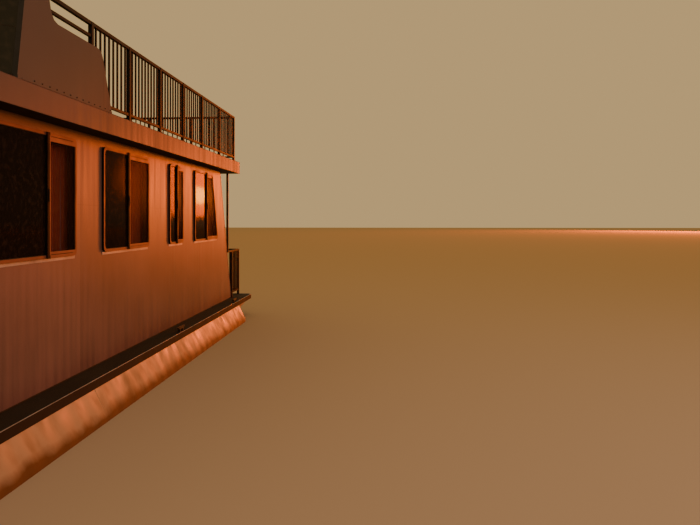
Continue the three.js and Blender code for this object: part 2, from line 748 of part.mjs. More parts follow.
// Drive leg, drawn about the trim axis
function driveLeg() {
  const [near, far] = LEG_ARM;
  const { boss } = GIMBAL;
  const { radius, aft, fore } = GEARCASE;
  const yoke = box([-150, -75], [-far, far], [-70, 55]);
  const arms = [[-far, -near], [near, far]].map((y) =>
    cut(join([rod("y", boss, y, [0, 0]), box([-100, 0], y, [-boss, boss])]), [
      rod("y", PIN.bore, [y[0] - 1, y[1] + 1], [0, 0]),
    ]),
  );
  const housing = prismY(
    [[-100, 55], [-240, 55], [-265, -60], [-265, -260], [-262, -400], [-225, -470], [-165, -470],
      [-120, -360], [-115, -260], [-125, -70], [-100, -70]],
    [-42, 42],
  );
  const gearcase = rod("x", radius, [aft, fore], [0, -PROP.below]);
  const nose = solid(new THREE.SphereGeometry(radius, 16, 8).translate(fore, 0, -PROP.below));
  const plate = prismZ([[-420, -130], [-90, -60], [-90, 60], [-420, 130]], [-135, -123]);
  const shaft = rod("x", SHAFT.radius, [-400, aft + 10], [0, -PROP.below]);
  return join([yoke, ...arms, housing, gearcase, nose, plate, shaft]);
}

// Propeller on its own shaft line, along x, its fore face at the origin
function propeller() {
  const hub = rod("x", PROP.hub, [-PROP.length, 0], [0, 0]);
  const blade = new THREE.Shape();
  blade.moveTo(-22, 20);
  blade.quadraticCurveTo(-80, 95, -42, 140);
  blade.quadraticCurveTo(0, PROP.radius + 14, 44, 132);
  blade.quadraticCurveTo(72, 80, 22, 20);
  const pitch = THREE.MathUtils.degToRad(PROP.twist);
  const blades = [0, 1, 2].map((i) => {
    const flat = extrude(blade, PROP.blade).translate(0, 0, -PROP.blade / 2);
    flat.rotateX(Math.PI / 2).rotateZ(pitch);
    flat.rotateX((i * 2 * Math.PI) / 3 + Math.PI);
    return solid(flat.translate(1 - PROP.length / 2, 0, 0));
  });
  return cut(join([hub, ...blades]), [rod("x", SHAFT.bore, [-PROP.length - 1, 1], [0, 0])]);
}

// Assembly: each side's pieces are made once to port and mirrored to starboard
const houseboat = new THREE.Group();
const sides = { port: new THREE.Group(), starboard: new THREE.Group() };
sides.starboard.scale.y = -1;

for (const [side, group] of Object.entries(sides)) {
  const port = side === "port";
  group.add(piece(`pontoon_${side}`, pontoon(), "hull_plate"));
  group.add(piece(`cabin_side_${side}`, cabinSide(), "wall_panel"));
  group.add(piece(`curtains_${side}`, curtains(), "curtain_cloth"));
  group.add(piece(`upper_rail_${side}`, upperRail(!port), "black_rail"));
  group.add(piece(`wing_${side}`, wing(), "wing_panel"));
  group.add(piece(`bow_rail_${side}`, bowRail(port), "black_rail"));
  group.add(piece(`stern_rail_${side}`, sternRail(port), "black_rail"));
  const glazing = new THREE.Group();
  glazing.position.y = CABIN_HALF;
  for (const window of WINDOWS) {
    const [name] = window;
    glazing.add(piece(`${name}_window_frame_${side}`, windowFrame(window), "window_frame"));
    glazing.add(piece(`${name}_window_pane_${side}`, windowPane(window), "tinted_glass"));
  }
  group.add(glazing);
  houseboat.add(group);
}

houseboat.add(piece("engine_pod", enginePod(), "hull_plate"));
houseboat.add(piece("engine_block", engineBlock(), "engine_block"));
houseboat.add(piece("main_deck", mainDeck(), "deck_coat"));
houseboat.add(piece("cabin_fore_wall", endWall(FORE_WALL, FORE_PANES), "wall_panel"));
houseboat.add(piece("cabin_aft_wall", endWall(AFT_WALL, []), "wall_panel"));
houseboat.add(piece("fore_pane_port", endPane(FORE_WALL, FORE_PANES[0]), "tinted_glass"));
houseboat.add(piece("fore_pane_starboard", endPane(FORE_WALL, FORE_PANES[1]), "tinted_glass"));
houseboat.add(piece("fore_door_frame", doorFrame(FORE_WALL), "window_frame"));
houseboat.add(piece("fore_door_pane", doorPane(FORE_WALL), "tinted_glass"));
houseboat.add(piece("aft_door_frame", doorFrame(AFT_WALL), "window_frame"));
houseboat.add(piece("aft_door_pane", doorPane(AFT_WALL), "tinted_glass"));
houseboat.add(piece("roof", roof(), "roof_fascia"));
houseboat.add(piece("upper_rail_aft", aftRail(), "black_rail"));
houseboat.add(piece("windscreen", windscreen(), "tinted_glass"));
houseboat.add(piece("helm_console", consoleShell(), "console_shell"));
houseboat.add(piece("helm_bench", bench(), "console_shell"));
houseboat.add(piece("seat_cushion", seatCushion(), "seat_vinyl"));
houseboat.add(piece("back_cushion", backCushion(), "seat_vinyl"));
houseboat.add(piece("stern_ladder", ladder(), "ladder_tube"));
houseboat.add(piece("drive_mount", driveMount(), "drive_paint"));
houseboat.add(piece("drive_gimbal", driveGimbal(), "drive_paint"));

for (const [name, { at, width, rail, hinges }] of Object.entries(GATES)) {
  const leaf = piece(`${name}_gate`, gateLeaf(width, rail, hinges), "black_rail");
  leaf.position.set(at[0], at[1], 0);
  houseboat.add(leaf);
}

const dashTilt = Math.atan2(CONSOLE.run, CONSOLE.brow - CONSOLE.dash);
const wheel = piece("helm_wheel", helmWheel(), "black_rail");
wheel.position.set(
  CONSOLE.aft + CONSOLE.run / 2 - Math.cos(dashTilt) * WHEEL.standoff,
  0,
  ROOF_TOP + SEAT + (CONSOLE.dash + CONSOLE.brow) / 2 + Math.sin(dashTilt) * WHEEL.standoff,
);
wheel.rotation.y = -Math.PI / 2 + dashTilt;
houseboat.add(wheel);

const leg = new THREE.Group();
leg.position.set(TRIM_AXIS.x, 0, TRIM_AXIS.z);
leg.add(piece("drive_leg", driveLeg(), "drive_paint"));
const screw = piece("propeller", propeller(), "prop_metal");
screw.position.set(-PROP.start, 0, -PROP.below);
leg.add(screw);
houseboat.add(leg);

export default houseboat;
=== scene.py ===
"""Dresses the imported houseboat: plating, paint, glass, curtains, cushions and deck gear.

The frame holds every solid at its real size. Each class is one sub-assembly of the boat. It keeps
its sizes as fields, models its pieces with Blender's operators and gives them their finishes.
Lengths are metres: x runs to the bow, y to port, and z up from the pontoons' bottoms.
"""

import logging
import math
from collections.abc import Callable, Iterable, Sequence
from dataclasses import dataclass
from enum import Enum
from functools import partial

import bpy
from mathutils import Matrix, Vector


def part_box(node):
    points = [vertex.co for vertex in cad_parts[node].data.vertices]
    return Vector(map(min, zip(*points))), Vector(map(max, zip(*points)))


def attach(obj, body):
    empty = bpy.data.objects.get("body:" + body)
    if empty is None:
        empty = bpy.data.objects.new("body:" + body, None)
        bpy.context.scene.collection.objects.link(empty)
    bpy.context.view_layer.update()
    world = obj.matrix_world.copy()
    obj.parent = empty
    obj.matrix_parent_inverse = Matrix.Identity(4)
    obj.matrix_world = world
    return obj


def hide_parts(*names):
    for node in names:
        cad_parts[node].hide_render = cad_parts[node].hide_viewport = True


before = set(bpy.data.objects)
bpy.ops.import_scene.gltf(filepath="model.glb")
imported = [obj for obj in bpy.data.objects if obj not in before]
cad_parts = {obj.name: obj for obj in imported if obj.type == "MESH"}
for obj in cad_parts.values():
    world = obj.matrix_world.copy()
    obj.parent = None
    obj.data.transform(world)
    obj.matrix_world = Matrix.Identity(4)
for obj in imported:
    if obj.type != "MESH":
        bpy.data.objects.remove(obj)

Piece = bpy.types.Object
Tree = bpy.types.NodeTree
Socket = bpy.types.NodeSocket
Point = Sequence[float]
FaceTest = Callable[[Vector, Vector], bool]
FaceChoice = Callable[[Vector, Vector], int]
Inputs = dict[str | int, object]
Adder = Callable[..., list[Socket]]

LOG = logging.getLogger("houseboat")

# Levels and edges that many pieces share; the last three are read from the frame's own solids
WATERLINE = 0.45
DECK_TOP = 0.825
UPPER_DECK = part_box("roof")[1].z
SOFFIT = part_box("roof")[0].z
CABIN_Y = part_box("cabin_side_port")[1].y

# Ways that a face can look
UPWARD, DOWNWARD = (0, 0, 1), (0, 0, -1)
BOWWARD, AFTWARD, PORTWARD = (1, 0, 0), (-1, 0, 0), (0, 1, 0)


class Side(Enum):
    """The boat's two sides, with the sign of their y."""

    PORT = 1
    STARBOARD = -1

    @property
    def word(self) -> str:
        """The side's name as it stands in node names."""
        return self.name.lower()


class Axis(Enum):
    """The direction that a wall's sheets stand side by side in."""

    X = "fore and aft"
    Y = "athwart"


# Modelling with operators


def select_only(*pieces: Piece) -> None:
    """Deselects everything, then selects these pieces with the first one active.

    Args:
        pieces: What to select.
    """
    bpy.ops.object.select_all(action="DESELECT")
    for piece in pieces:
        piece.select_set(True)
    bpy.context.view_layer.objects.active = pieces[0]


def settle(name: str) -> Piece:
    """Names the active object and applies its place, turn and size to its mesh.

    Args:
        name: The piece's name.

    Returns:
        The piece, with its object at the origin.
    """
    piece = bpy.context.active_object
    piece.name = piece.data.name = name
    bpy.ops.object.transform_apply(location=True, rotation=True, scale=True)
    return piece


def add_block(name: str, low: Point, high: Point) -> Piece:
    """Starts a piece as a block between two corners.

    Args:
        name: The piece's name.
        low: Its lowest corner.
        high: Its highest corner.

    Returns:
        The block.
    """
    bpy.ops.object.select_all(action="DESELECT")
    low, high = Vector(low), Vector(high)
    bpy.ops.mesh.primitive_cube_add(size=1, location=(low + high) / 2, scale=high - low)
    return settle(name)


def add_rod(name: str, start: Point, end: Point, radius: float, sides: int = 20) -> Piece:
    """Starts a piece as a round bar between two points.

    Args:
        name: The piece's name.
        start: The middle of one end.
        end: The middle of the other end.
        radius: The bar's radius.
        sides: How many flat sides stand for the round one.

    Returns:
        The bar.
    """
    bpy.ops.object.select_all(action="DESELECT")
    start, end = Vector(start), Vector(end)
    run = end - start
    bpy.ops.mesh.primitive_cylinder_add(
        vertices=sides,
        radius=radius,
        depth=run.length,
        location=(start + end) / 2,
        rotation=run.to_track_quat("Z", "Y").to_euler(),
    )
    return settle(name)


def edit_faces(piece: Piece, wanted: FaceTest, *actions: Callable[[], object]) -> None:
    """Selects faces by their middle and normal, and runs edit-mode actions on them.

    Args:
        piece: The piece to edit.
        wanted: Says of a face's middle and normal whether it is selected.
        actions: The operators to run, in order.
    """
    select_only(piece)
    bpy.ops.object.mode_set(mode="EDIT")
    bpy.ops.mesh.select_mode(type="FACE")
    bpy.ops.mesh.select_all(action="DESELECT")
    bpy.ops.object.mode_set(mode="OBJECT")
    for face in piece.data.polygons:
        face.select = wanted(face.center, face.normal)
    bpy.ops.object.mode_set(mode="EDIT")
    for action in actions:
        action()
    bpy.ops.object.mode_set(mode="OBJECT")


def everywhere(middle: Vector, normal: Vector) -> bool:
    """Accepts every face."""
    return True


def dished(piece: Piece, facing: Point, *steps: Point) -> Piece:
    """Insets the faces that look one way and sinks them, or raises them if the depth is negative.

    Args:
        piece: The piece to change.
        facing: The direction that the faces look.
        steps: The width to inset by and the depth to sink by, step by step.

    Returns:
        The same piece.
    """
    facing = Vector(facing)
    actions = []
    for width, depth in steps:
        push = {"value": -depth}
        actions.append(partial(bpy.ops.mesh.inset, thickness=width))
        actions.append(
            partial(bpy.ops.mesh.extrude_region_shrink_fatten, TRANSFORM_OT_shrink_fatten=push)
        )
    edit_faces(piece, lambda middle, normal: normal.dot(facing) > 0.9, *actions)
    return piece


def parted(piece: Piece, at: Point, across: Point, **clear: bool) -> Piece:
    """Cuts a piece's faces along a plane, and clears or fills as asked."""
    edit_faces(piece, everywhere, partial(bpy.ops.mesh.bisect, plane_co=at, plane_no=across, **clear))
    return piece


def rectangle(low: Point, high: Point) -> list[Vector]:
    """Gives a rectangle's corners in turning order; the two given ones share one coordinate.

    Args:
        low: One corner.
        high: The corner across from it.

    Returns:
        The four corners.
    """
    across, up = (axis for axis in range(3) if low[axis] != high[axis])
    corners = [Vector(low) for _ in range(4)]
    for corner, (right, over) in zip(corners, ((0, 0), (1, 0), (1, 1), (0, 1))):
        corner[across], corner[up] = (low, high)[right][across], (low, high)[over][up]
    return corners


def add_sheet(name: str, corners: Iterable[Point], radius: float = 0.0, steps: int = 6) -> Piece:
    """Starts a piece as one flat face, with its corners rounded if asked.

    Args:
        name: The piece's name.
        corners: The face's corners in turning order.
        radius: The radius of the rounded corners.
        steps: How many straight runs stand for each round corner.

    Returns:
        The flat piece.
    """
    corners = [tuple(corner) for corner in corners]
    mesh = bpy.data.meshes.new(name)
    mesh.from_pydata(corners, [], [tuple(range(len(corners)))])
    piece = bpy.data.objects.new(name, mesh)
    bpy.context.scene.collection.objects.link(piece)
    if radius:
        rounding = partial(bpy.ops.mesh.bevel, offset=radius, segments=steps, affect="VERTICES")
        edit_faces(piece, everywhere, rounding)
    return piece


def drawn_out(piece: Piece, run: Point) -> Piece:
    """Extrudes a flat piece along a vector into a closed solid with its faces outwards.

    Args:
        piece: The flat piece.
        run: The vector to draw it along.

    Returns:
        The same piece, now solid.
    """
    edit_faces(
        piece,
        everywhere,
        partial(bpy.ops.mesh.extrude_region_move, TRANSFORM_OT_translate={"value": tuple(run)}),
        partial(bpy.ops.mesh.select_all, action="SELECT"),
        partial(bpy.ops.mesh.normals_make_consistent, inside=False),
    )
    return piece


def add_prism(name: str, corners: Iterable[Point], run: Point, radius: float = 0.0) -> Piece:
    """Makes a solid from a flat outline drawn out along a vector."""
    return drawn_out(add_sheet(name, corners, radius), run)


def add_ring(
    name: str, corners: Iterable[Point], width: float, run: Point, radius: float = 0.0
) -> Piece:
    """Makes a solid frame: an outline's rim of even width, drawn out along a vector.

    Args:
        name: The piece's name.
        corners: The outline's corners in turning order.
        width: The width of the rim.
        run: The vector that gives the frame its depth.
        radius: The radius of the outer corners.

    Returns:
        The frame.
    """
    piece = add_sheet(name, corners, radius)
    rim = partial(bpy.ops.mesh.inset, thickness=width)
    edit_faces(piece, everywhere, rim, partial(bpy.ops.mesh.delete, type="ONLY_FACE"))
    return drawn_out(piece, run)


def add_tube(
    name: str, points: Iterable[Point], radius: float, bend: float = 0.0, closed: bool = False
) -> Piece:
    """Makes a round tube along straight runs, with its corners bent to a radius.

    Args:
        name: The piece's name.
        points: The corners of the tube's middle line.
        radius: The tube's radius.
        bend: The length that each corner's bend takes from its runs.
        closed: Whether the last point joins the first.

    Returns:
        The tube as a mesh.
    """
    points = [tuple(point) for point in points]
    last = len(points) if closed else len(points) - 1
    mesh = bpy.data.meshes.new(name)
    mesh.from_pydata(points, [(i, (i + 1) % len(points)) for i in range(last)], [])
    piece = bpy.data.objects.new(name, mesh)
    bpy.context.scene.collection.objects.link(piece)
    select_only(piece)
    if bend:
        bpy.ops.object.mode_set(mode="EDIT")
        bpy.ops.mesh.select_mode(type="VERT")
        bpy.ops.mesh.select_all(action="DESELECT")
        bpy.ops.object.mode_set(mode="OBJECT")
        ends = () if closed else (0, len(points) - 1)
        for vertex in mesh.vertices:
            vertex.select = vertex.index not in ends
        bpy.ops.object.mode_set(mode="EDIT")
        bpy.ops.mesh.bevel(offset=bend, segments=6, affect="VERTICES")
        bpy.ops.object.mode_set(mode="OBJECT")
    bpy.ops.object.convert(target="CURVE")
    curve = bpy.context.active_object.data
    curve.bevel_depth = radius
    curve.bevel_resolution = 3
    curve.use_fill_caps = not closed
    bpy.ops.object.convert(target="MESH")
    return settle(name)


def copied(piece: Piece, name: str, move: Point = (0.0, 0.0, 0.0)) -> Piece:
    """Copies a piece with a mesh of its own, moved along a vector.

    Args:
        piece: What to copy.
        name: The copy's name.
        move: The vector that it is moved along.

    Returns:
        The copy.
    """
    twin = bpy.data.objects.new(name, piece.data.copy())
    twin.data.transform(Matrix.Translation(move))
    bpy.context.scene.collection.objects.link(twin)
    return twin


def mirrored(piece: Piece, name: str) -> Piece:
    """Copies a port piece to starboard, with its faces still outwards.

    Args:
        piece: The port piece.
        name: The starboard piece's name.

    Returns:
        The starboard piece.
    """
    twin = copied(piece, name)
    twin.data.transform(Matrix.Scale(-1, 4, (0, 1, 0)))
    twin.data.flip_normals()
    return evened(twin) if piece.data.has_custom_normals else twin


def joined(name: str, pieces: Sequence[Piece]) -> Piece:
    """Joins pieces into one mesh object.

    Args:
        name: The joined piece's name.
        pieces: What to join; the first one takes in the rest.

    Returns:
        The joined piece.
    """
    select_only(*pieces)
    if len(pieces) > 1:
        bpy.ops.object.join()
    pieces[0].name = pieces[0].data.name = name
    return pieces[0]


def applied(piece: Piece, kind: str, **settings: object) -> Piece:
    """Adds a modifier with its settings and applies it.

    Args:
        piece: The piece to change.
        kind: The modifier's type, as Blender names it.
        settings: Its settings by name.

    Returns:
        The same piece.
    """
    modifier = piece.modifiers.new(kind, kind)
    for setting, value in settings.items():
        setattr(modifier, setting, value)
    select_only(piece)
    bpy.ops.object.modifier_apply(modifier=modifier.name)
    return piece


def arrayed(piece: Piece, count: int, step: Point) -> Piece:
    """Repeats a piece's mesh at even steps along a vector.

    Args:
        piece: The piece to repeat.
        count: How many there are in all.
        step: The vector from one to the next.

    Returns:
        The same piece, repeated.
    """
    return applied(
        piece,
        "ARRAY",
        count=max(count, 1),
        use_relative_offset=False,
        use_constant_offset=True,
        constant_offset_displace=step,
    )


def eased(piece: Piece, width: float, segments: int = 2, angle: float = 30.0) -> Piece:
    """Rounds a piece's sharp edges, and shades its round faces smooth.

    Args:
        piece: The piece to finish.
        width: How far the rounding reaches from an edge.
        segments: How many faces make it.
        angle: Edges sharper than this many degrees are rounded.

    Returns:
        The same piece.
    """
    if width:
        applied(
            piece,
            "BEVEL",
            width=width,
            segments=segments,
            limit_method="ANGLE",
            angle_limit=math.radians(angle),
            use_clamp_overlap=True,
        )
    select_only(piece)
    bpy.ops.object.shade_smooth_by_angle(angle=math.radians(angle + 20))
    return evened(piece)


def evened(piece: Piece) -> Piece:
    """Weighs a piece's normals by the size of its faces, so that wide flat ones stay flat."""
    return applied(piece, "WEIGHTED_NORMAL", keep_sharp=True)


def from_node(node: str, name: str) -> Piece:
    """Copies a frame node's solid as one clean mesh, ready to be finished.

    Args:
        node: The frame node's name.
        name: The new piece's name.

    Returns:
        The copy, its doubles merged and its flat faces made whole.
    """
    piece = bpy.data.objects.new(name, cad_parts[node].data.copy())
    piece.data.name = name
    piece.data.materials.clear()
    bpy.context.scene.collection.objects.link(piece)
    select_only(piece)
    bpy.ops.object.mode_set(mode="EDIT")
    bpy.ops.mesh.select_all(action="SELECT")
    bpy.ops.mesh.remove_doubles(threshold=1e-5)
    bpy.ops.mesh.dissolve_limited(angle_limit=math.radians(0.5))
    bpy.ops.object.mode_set(mode="OBJECT")
    return piece


def bolt_head(name: str, at: Point, radius: float, height: float, facing: Point) -> Piece:
    """Makes a domed screw or bolt head that stands on a surface.

    Args:
        name: The piece's name.
        at: Where it sits on the surface.
        radius: The head's radius.
        height: How far it stands proud.
        facing: The surface's outward direction.

    Returns:
        The head, with a driver's socket sunk in it.
    """
    at, facing = Vector(at), Vector(facing).normalized()
    head = add_rod(name, at - facing * height * 0.3, at + facing * height, radius, 10)
    return dished(head, facing, (radius * 0.35, -height * 0.35), (radius * 0.18, height * 0.7))


# Finishes

# A wave texture with this scale repeats once a metre
ONE_A_METRE = 0.314


def linear(colour: str) -> tuple[float, float, float, float]:
    """Turns an sRGB hex colour such as "#8a5a3c" into linear light with full alpha.

    Args:
        colour: The colour in sRGB hex.

    Returns:
        Red, green, blue and alpha.
    """
    parts = [int(colour[i : i + 2], 16) / 255 for i in (1, 3, 5)]
    red, green, blue = (p / 12.92 if p <= 0.04045 else ((p + 0.055) / 1.055) ** 2.4 for p in parts)
    return red, green, blue, 1.0


def add_node(tree: Tree, kind: str, sockets: Inputs | None = None, **settings: object) -> list[Socket]:
    """Adds a shader node with its settings and links.

    Args:
        tree: The material's node tree.
        kind: The node's type, as Blender names it after "ShaderNode".
        sockets: A value, or another node's socket, for each input by name or number.
        settings: Its other settings by name.

    Returns:
        The node's output sockets.
    """
    made = tree.nodes.new("ShaderNode" + kind)
    for name, value in settings.items():
        setattr(made, name, value)
    for name, value in (sockets or {}).items():
        if isinstance(value, Socket):
            tree.links.new(value, made.inputs[name])
        else:
            made.inputs[name].default_value = value
    return list(made.outputs)


@dataclass(frozen=True)
class Finish:
    """A surface's finish: what it is made of, its tone and its gloss."""

    name: str
    colour: str
    roughness: float
    metallic: float = 0.0
    gloss: float = 0.5

    def material(self) -> bpy.types.Material:
        """Gives the finish's material, made the first time it is asked for."""
        return bpy.data.materials.get(self.name) or self.make()

    def make(self) -> bpy.types.Material:
        """Makes the material: one shader, fed by the finish's own pattern.

        Returns:
            The material.
        """
        made = bpy.data.materials.new(self.name)
        made.use_nodes = True
        made.node_tree.nodes.clear()
        add = partial(add_node, made.node_tree)
        plain = {
            "Base Color": linear(self.colour),
            "Roughness": self.roughness,
            "Metallic": self.metallic,
            "Specular IOR Level": self.gloss,
        }
        surface = add("BsdfPrincipled", plain | self.pattern(add, add("TexCoord")[3]))
        add("OutputMaterial", {"Surface": surface[0]})
        return made

    def pattern(self, add: Adder, place: Socket) -> Inputs:
        """Gives what feeds the shader; a finish with a pattern of its own overrides this.

        Args:
            add: Adds a node to the material.
            place: The point on the piece, in metres.

        Returns:
            A value or a socket for each of the shader's inputs that the pattern sets.
        """
        raise NotImplementedError


@dataclass(frozen=True)
class SheetPaint(Finish):
    """Satin paint on butt-jointed aluminium sheet: rain streaks, faint joints, slight ripples."""

    faded: str = "#7a5a50"
    pitch: float = 1.22
    joint: float = 0.004
    level: float = 2.43
    across: Axis = Axis.X
    ripple: float = 0.0025
    sealant: str = "#2a1a12"

    def pattern(self, add: Adder, place: Socket) -> Inputs:
        """Tones, streaks and joints in the paint, and the ripple of the sheet under it.

        Args:
            add: Adds a node to the material.
            place: The point on the piece, in metres.

        Returns:
            What feeds the shader's inputs.
        """
        split = add("SeparateXYZ", {0: place})
        along = split["XYZ".index(self.across.name)]
        bay = add("Math", {0: along, 1: self.pitch}, operation="DIVIDE")
        panel = add("Math", {0: bay[0]}, operation="FLOOR")
        tone = add("TexWhiteNoise", {"W": panel[0]}, noise_dimensions="1D")
        # Rain leaves streaks a few centimetres wide and a metre or so long
        fall = add("Mapping", {"Vector": place, "Scale": (16.0, 16.0, 0.7)})
        streak = add("TexNoise", {0: fall[0], "Scale": 1.0, "Detail": 6.0})
        cloud = add("TexNoise", {0: place, "Scale": 1.1, "Detail": 5.0})
        blend = add("Mix", {0: 0.45, 2: cloud[0], 3: streak[0]})
        shade = add("Mix", {0: 0.22, 2: blend[0], 3: tone[0]})
        spread = add("MapRange", {0: shade[0], 1: 0.36, 2: 0.66})
        tones = {0: spread[0], 6: linear(self.colour), 7: linear(self.faded)}
        skin = add("Mix", tones, data_type="RGBA")
        # A joint between sheets is a dark line as wide as its sealant
        reach = add("Math", {0: along, 1: self.pitch / 2}, operation="PINGPONG")
        drop = add("Math", {0: split[2], 1: self.level}, operation="SUBTRACT")
        lift = add("Math", {0: drop[0]}, operation="ABSOLUTE")
        near = add("Math", {0: reach[0], 1: lift[0]}, operation="MINIMUM")
        seam = add("MapRange", {0: near[0], 2: self.joint, 3: 1.0, 4: 0.0})
        grime = add("Math", {0: seam[0], 1: 0.35}, operation="MULTIPLY")
        coat = add("Mix", {0: grime[0], 6: skin[2], 7: linear(self.sealant)}, data_type="RGBA")
        ends = {1: 0.3, 2: 0.7, 3: self.roughness - 0.05, 4: self.roughness + 0.09}
        gloss = add("MapRange", {0: streak[0], **ends})
        # Thin sheet between frames pulls into shallow waves about half a metre long
        wave = add("TexNoise", {0: place, "Scale": 2.2, "Detail": 1.0})
        form = add("Math", {0: seam[0], 1: -0.10, 2: wave[0]}, operation="MULTIPLY_ADD")
        relief = add("Bump", {"Strength": 1.0, "Distance": self.ripple, "Height": form[0]})
        return {"Base Color": coat[2], "Roughness": gloss[0], "Normal": relief[0]}


@dataclass(frozen=True)
class Plate(Finish):
    """Bare marine aluminium plate: rolling marks, water stains, and scum at the waterline."""

    stain: str = "#8c6440"
    scum: str = "#633818"
    metallic: float = 0.25
    frame_pitch: float = 0.25

    def pattern(self, add: Adder, place: Socket) -> Inputs:
        """Stains that run down the plate, a wet dark line at the water, and rolling marks.

        Args:
            add: Adds a node to the material.
            place: The point on the piece, in metres.

        Returns:
            What feeds the shader's inputs.
        """
        split = add("SeparateXYZ", {0: place})
        fall = add("Mapping", {"Vector": place, "Scale": (7.0, 7.0, 1.6)})
        stain = add("TexNoise", {0: fall[0], "Scale": 1.0, "Detail": 8.0})
        patch = add("MapRange", {0: stain[0], 1: 0.46, 2: 0.78, 4: 0.6})
        tones = {0: patch[0], 6: linear(self.colour), 7: linear(self.stain)}
        plate = add("Mix", tones, data_type="RGBA")
        # Scum reaches a hand's width above the water, with an uneven upper edge
        edge = add("TexNoise", {0: place, "Scale": 3.0, "Detail": 9.0})
        wander = add("Math", {0: edge[0], 1: 0.2, 2: split[2]}, operation="MULTIPLY_ADD")
        ends = {1: WATERLINE + 0.15, 2: WATERLINE + 0.235, 3: 1.0, 4: 0.0}
        scum = add("MapRange", {0: wander[0], **ends})
        skin = add("Mix", {0: scum[0], 6: plate[2], 7: linear(self.scum)}, data_type="RGBA")
        clean = add("MapRange", {0: scum[0], 3: self.metallic, 4: 0.1})
        ends = {1: 0.3, 2: 0.75, 3: self.roughness - 0.08, 4: self.roughness + 0.22}
        dull = add("MapRange", {0: stain[0], **ends})
        roll = add("Mapping", {"Vector": place, "Scale": (3.0, 160.0, 160.0)})
        grain = add("TexNoise", {0: roll[0], "Scale": 1.0, "Detail": 3.0})
        dent = add("TexNoise", {0: place, "Scale": 0.7, "Detail": 1.0})
        # The plate is pulled in a little at each frame
        bands = {0: place, "Scale": ONE_A_METRE / self.frame_pitch, "Distortion": 0.8, "Detail": 1.0}
        rib = add("TexWave", bands, bands_direction="X")
        pull = add("Math", {0: rib[1], 1: 0.7, 2: dent[0]}, operation="MULTIPLY_ADD")
        form = add("Math", {0: grain[0], 1: 0.03, 2: pull[0]}, operation="MULTIPLY_ADD")
        relief = add("Bump", {"Distance": 0.005, "Height": form[0]})
        return {
            "Base Color": skin[2],
            "Metallic": clean[0],
            "Roughness": dull[0],
            "Normal": relief[0],
        }


class Relief(Enum):
    """What a surface's finest relief is like, as the kind of texture that draws it."""

    GRAIN = "TexNoise"
    CELLS = "TexVoronoi"


@dataclass(frozen=True)
class Worn(Finish):
    """A coat, metal, rubber or vinyl: a second tone in clouds, and a fine relief over it all."""

    worn: str = "#4c3b2d"
    # How much of the second tone shows, and the width of its clouds
    share: float = 0.6
    cloud: float = 0.22
    # The relief: its kind, its size each way and its depth
    relief: Relief = Relief.GRAIN
    size: Point = (0.25, 0.0045, 0.0045)
    depth: float = 0.0001
    # A clear gloss over the whole
    coat: float = 0.0

    def pattern(self, add: Adder, place: Socket) -> Inputs:
        """Clouds of the second tone, duller than the rest, and the relief.

        Args:
            add: Adds a node to the material.
            place: The point on the piece, in metres.

        Returns:
            What feeds the shader's inputs.
        """
        cloud = add("TexNoise", {0: place, "Scale": 1 / self.cloud, "Detail": 7.0})
        spread = add("MapRange", {0: cloud[0], 1: 0.45, 2: 0.8, 4: self.share})
        tones = {0: spread[0], 6: linear(self.colour), 7: linear(self.worn)}
        skin = add("Mix", tones, data_type="RGBA")
        ends = {1: 0.3, 2: 0.75, 3: self.roughness - 0.06, 4: self.roughness + 0.12}
        dull = add("MapRange", {0: cloud[0], **ends})
        run = add("Mapping", {"Vector": place, "Scale": [1 / width for width in self.size]})
        fine = add(self.relief.value, {0: run[0], "Scale": 1.0})
        bump = add("Bump", {"Distance": self.depth, "Height": fine[0]})
        return {
            "Base Color": skin[2],
            "Roughness": dull[0],
            "Normal": bump[0],
            "Coat Weight": self.coat,
            "Coat Roughness": 0.2,
        }


@dataclass(frozen=True)
class Glass(Finish):
    """Tinted float glass or acrylic: clear gloss over a dark body, with dried spray on it."""

    clear: float = 0.6
    ior: float = 1.5
    body: float = 1.0
    spray: str = "#5a4838"

    def pattern(self, add: Adder, place: Socket) -> Inputs:
        """Spray spots that dull the gloss a little, and the faint roll of the sheet.

        Args:
            add: Adds a node to the material.
            place: The point on the piece, in metres.

        Returns:
            What feeds the shader's inputs.
        """
        spray = add("TexNoise", {0: place, "Scale": 22.0, "Detail": 8.0})
        ends = {1: 0.52, 2: 0.8, 3: self.roughness, 4: self.roughness + 0.05}
        film = add("MapRange", {0: spray[0], **ends})
        smear = add("MapRange", {0: spray[0], 1: 0.5, 2: 0.9, 4: 0.35})
        tones = {0: smear[0], 6: linear(self.colour), 7: linear(self.spray)}
        skin = add("Mix", tones, data_type="RGBA")
        roll = add("TexNoise", {0: place, "Scale": 3.0, "Detail": 0.0})
        relief = add("Bump", {"Strength": 0.6, "Distance": 0.002, "Height": roll[0]})
        return {
            "Base Color": skin[2],
            "Roughness": film[0],
            "Normal": relief[0],
            "Transmission Weight": self.clear,
            "IOR": self.ior,
            "Alpha": self.body,
        }


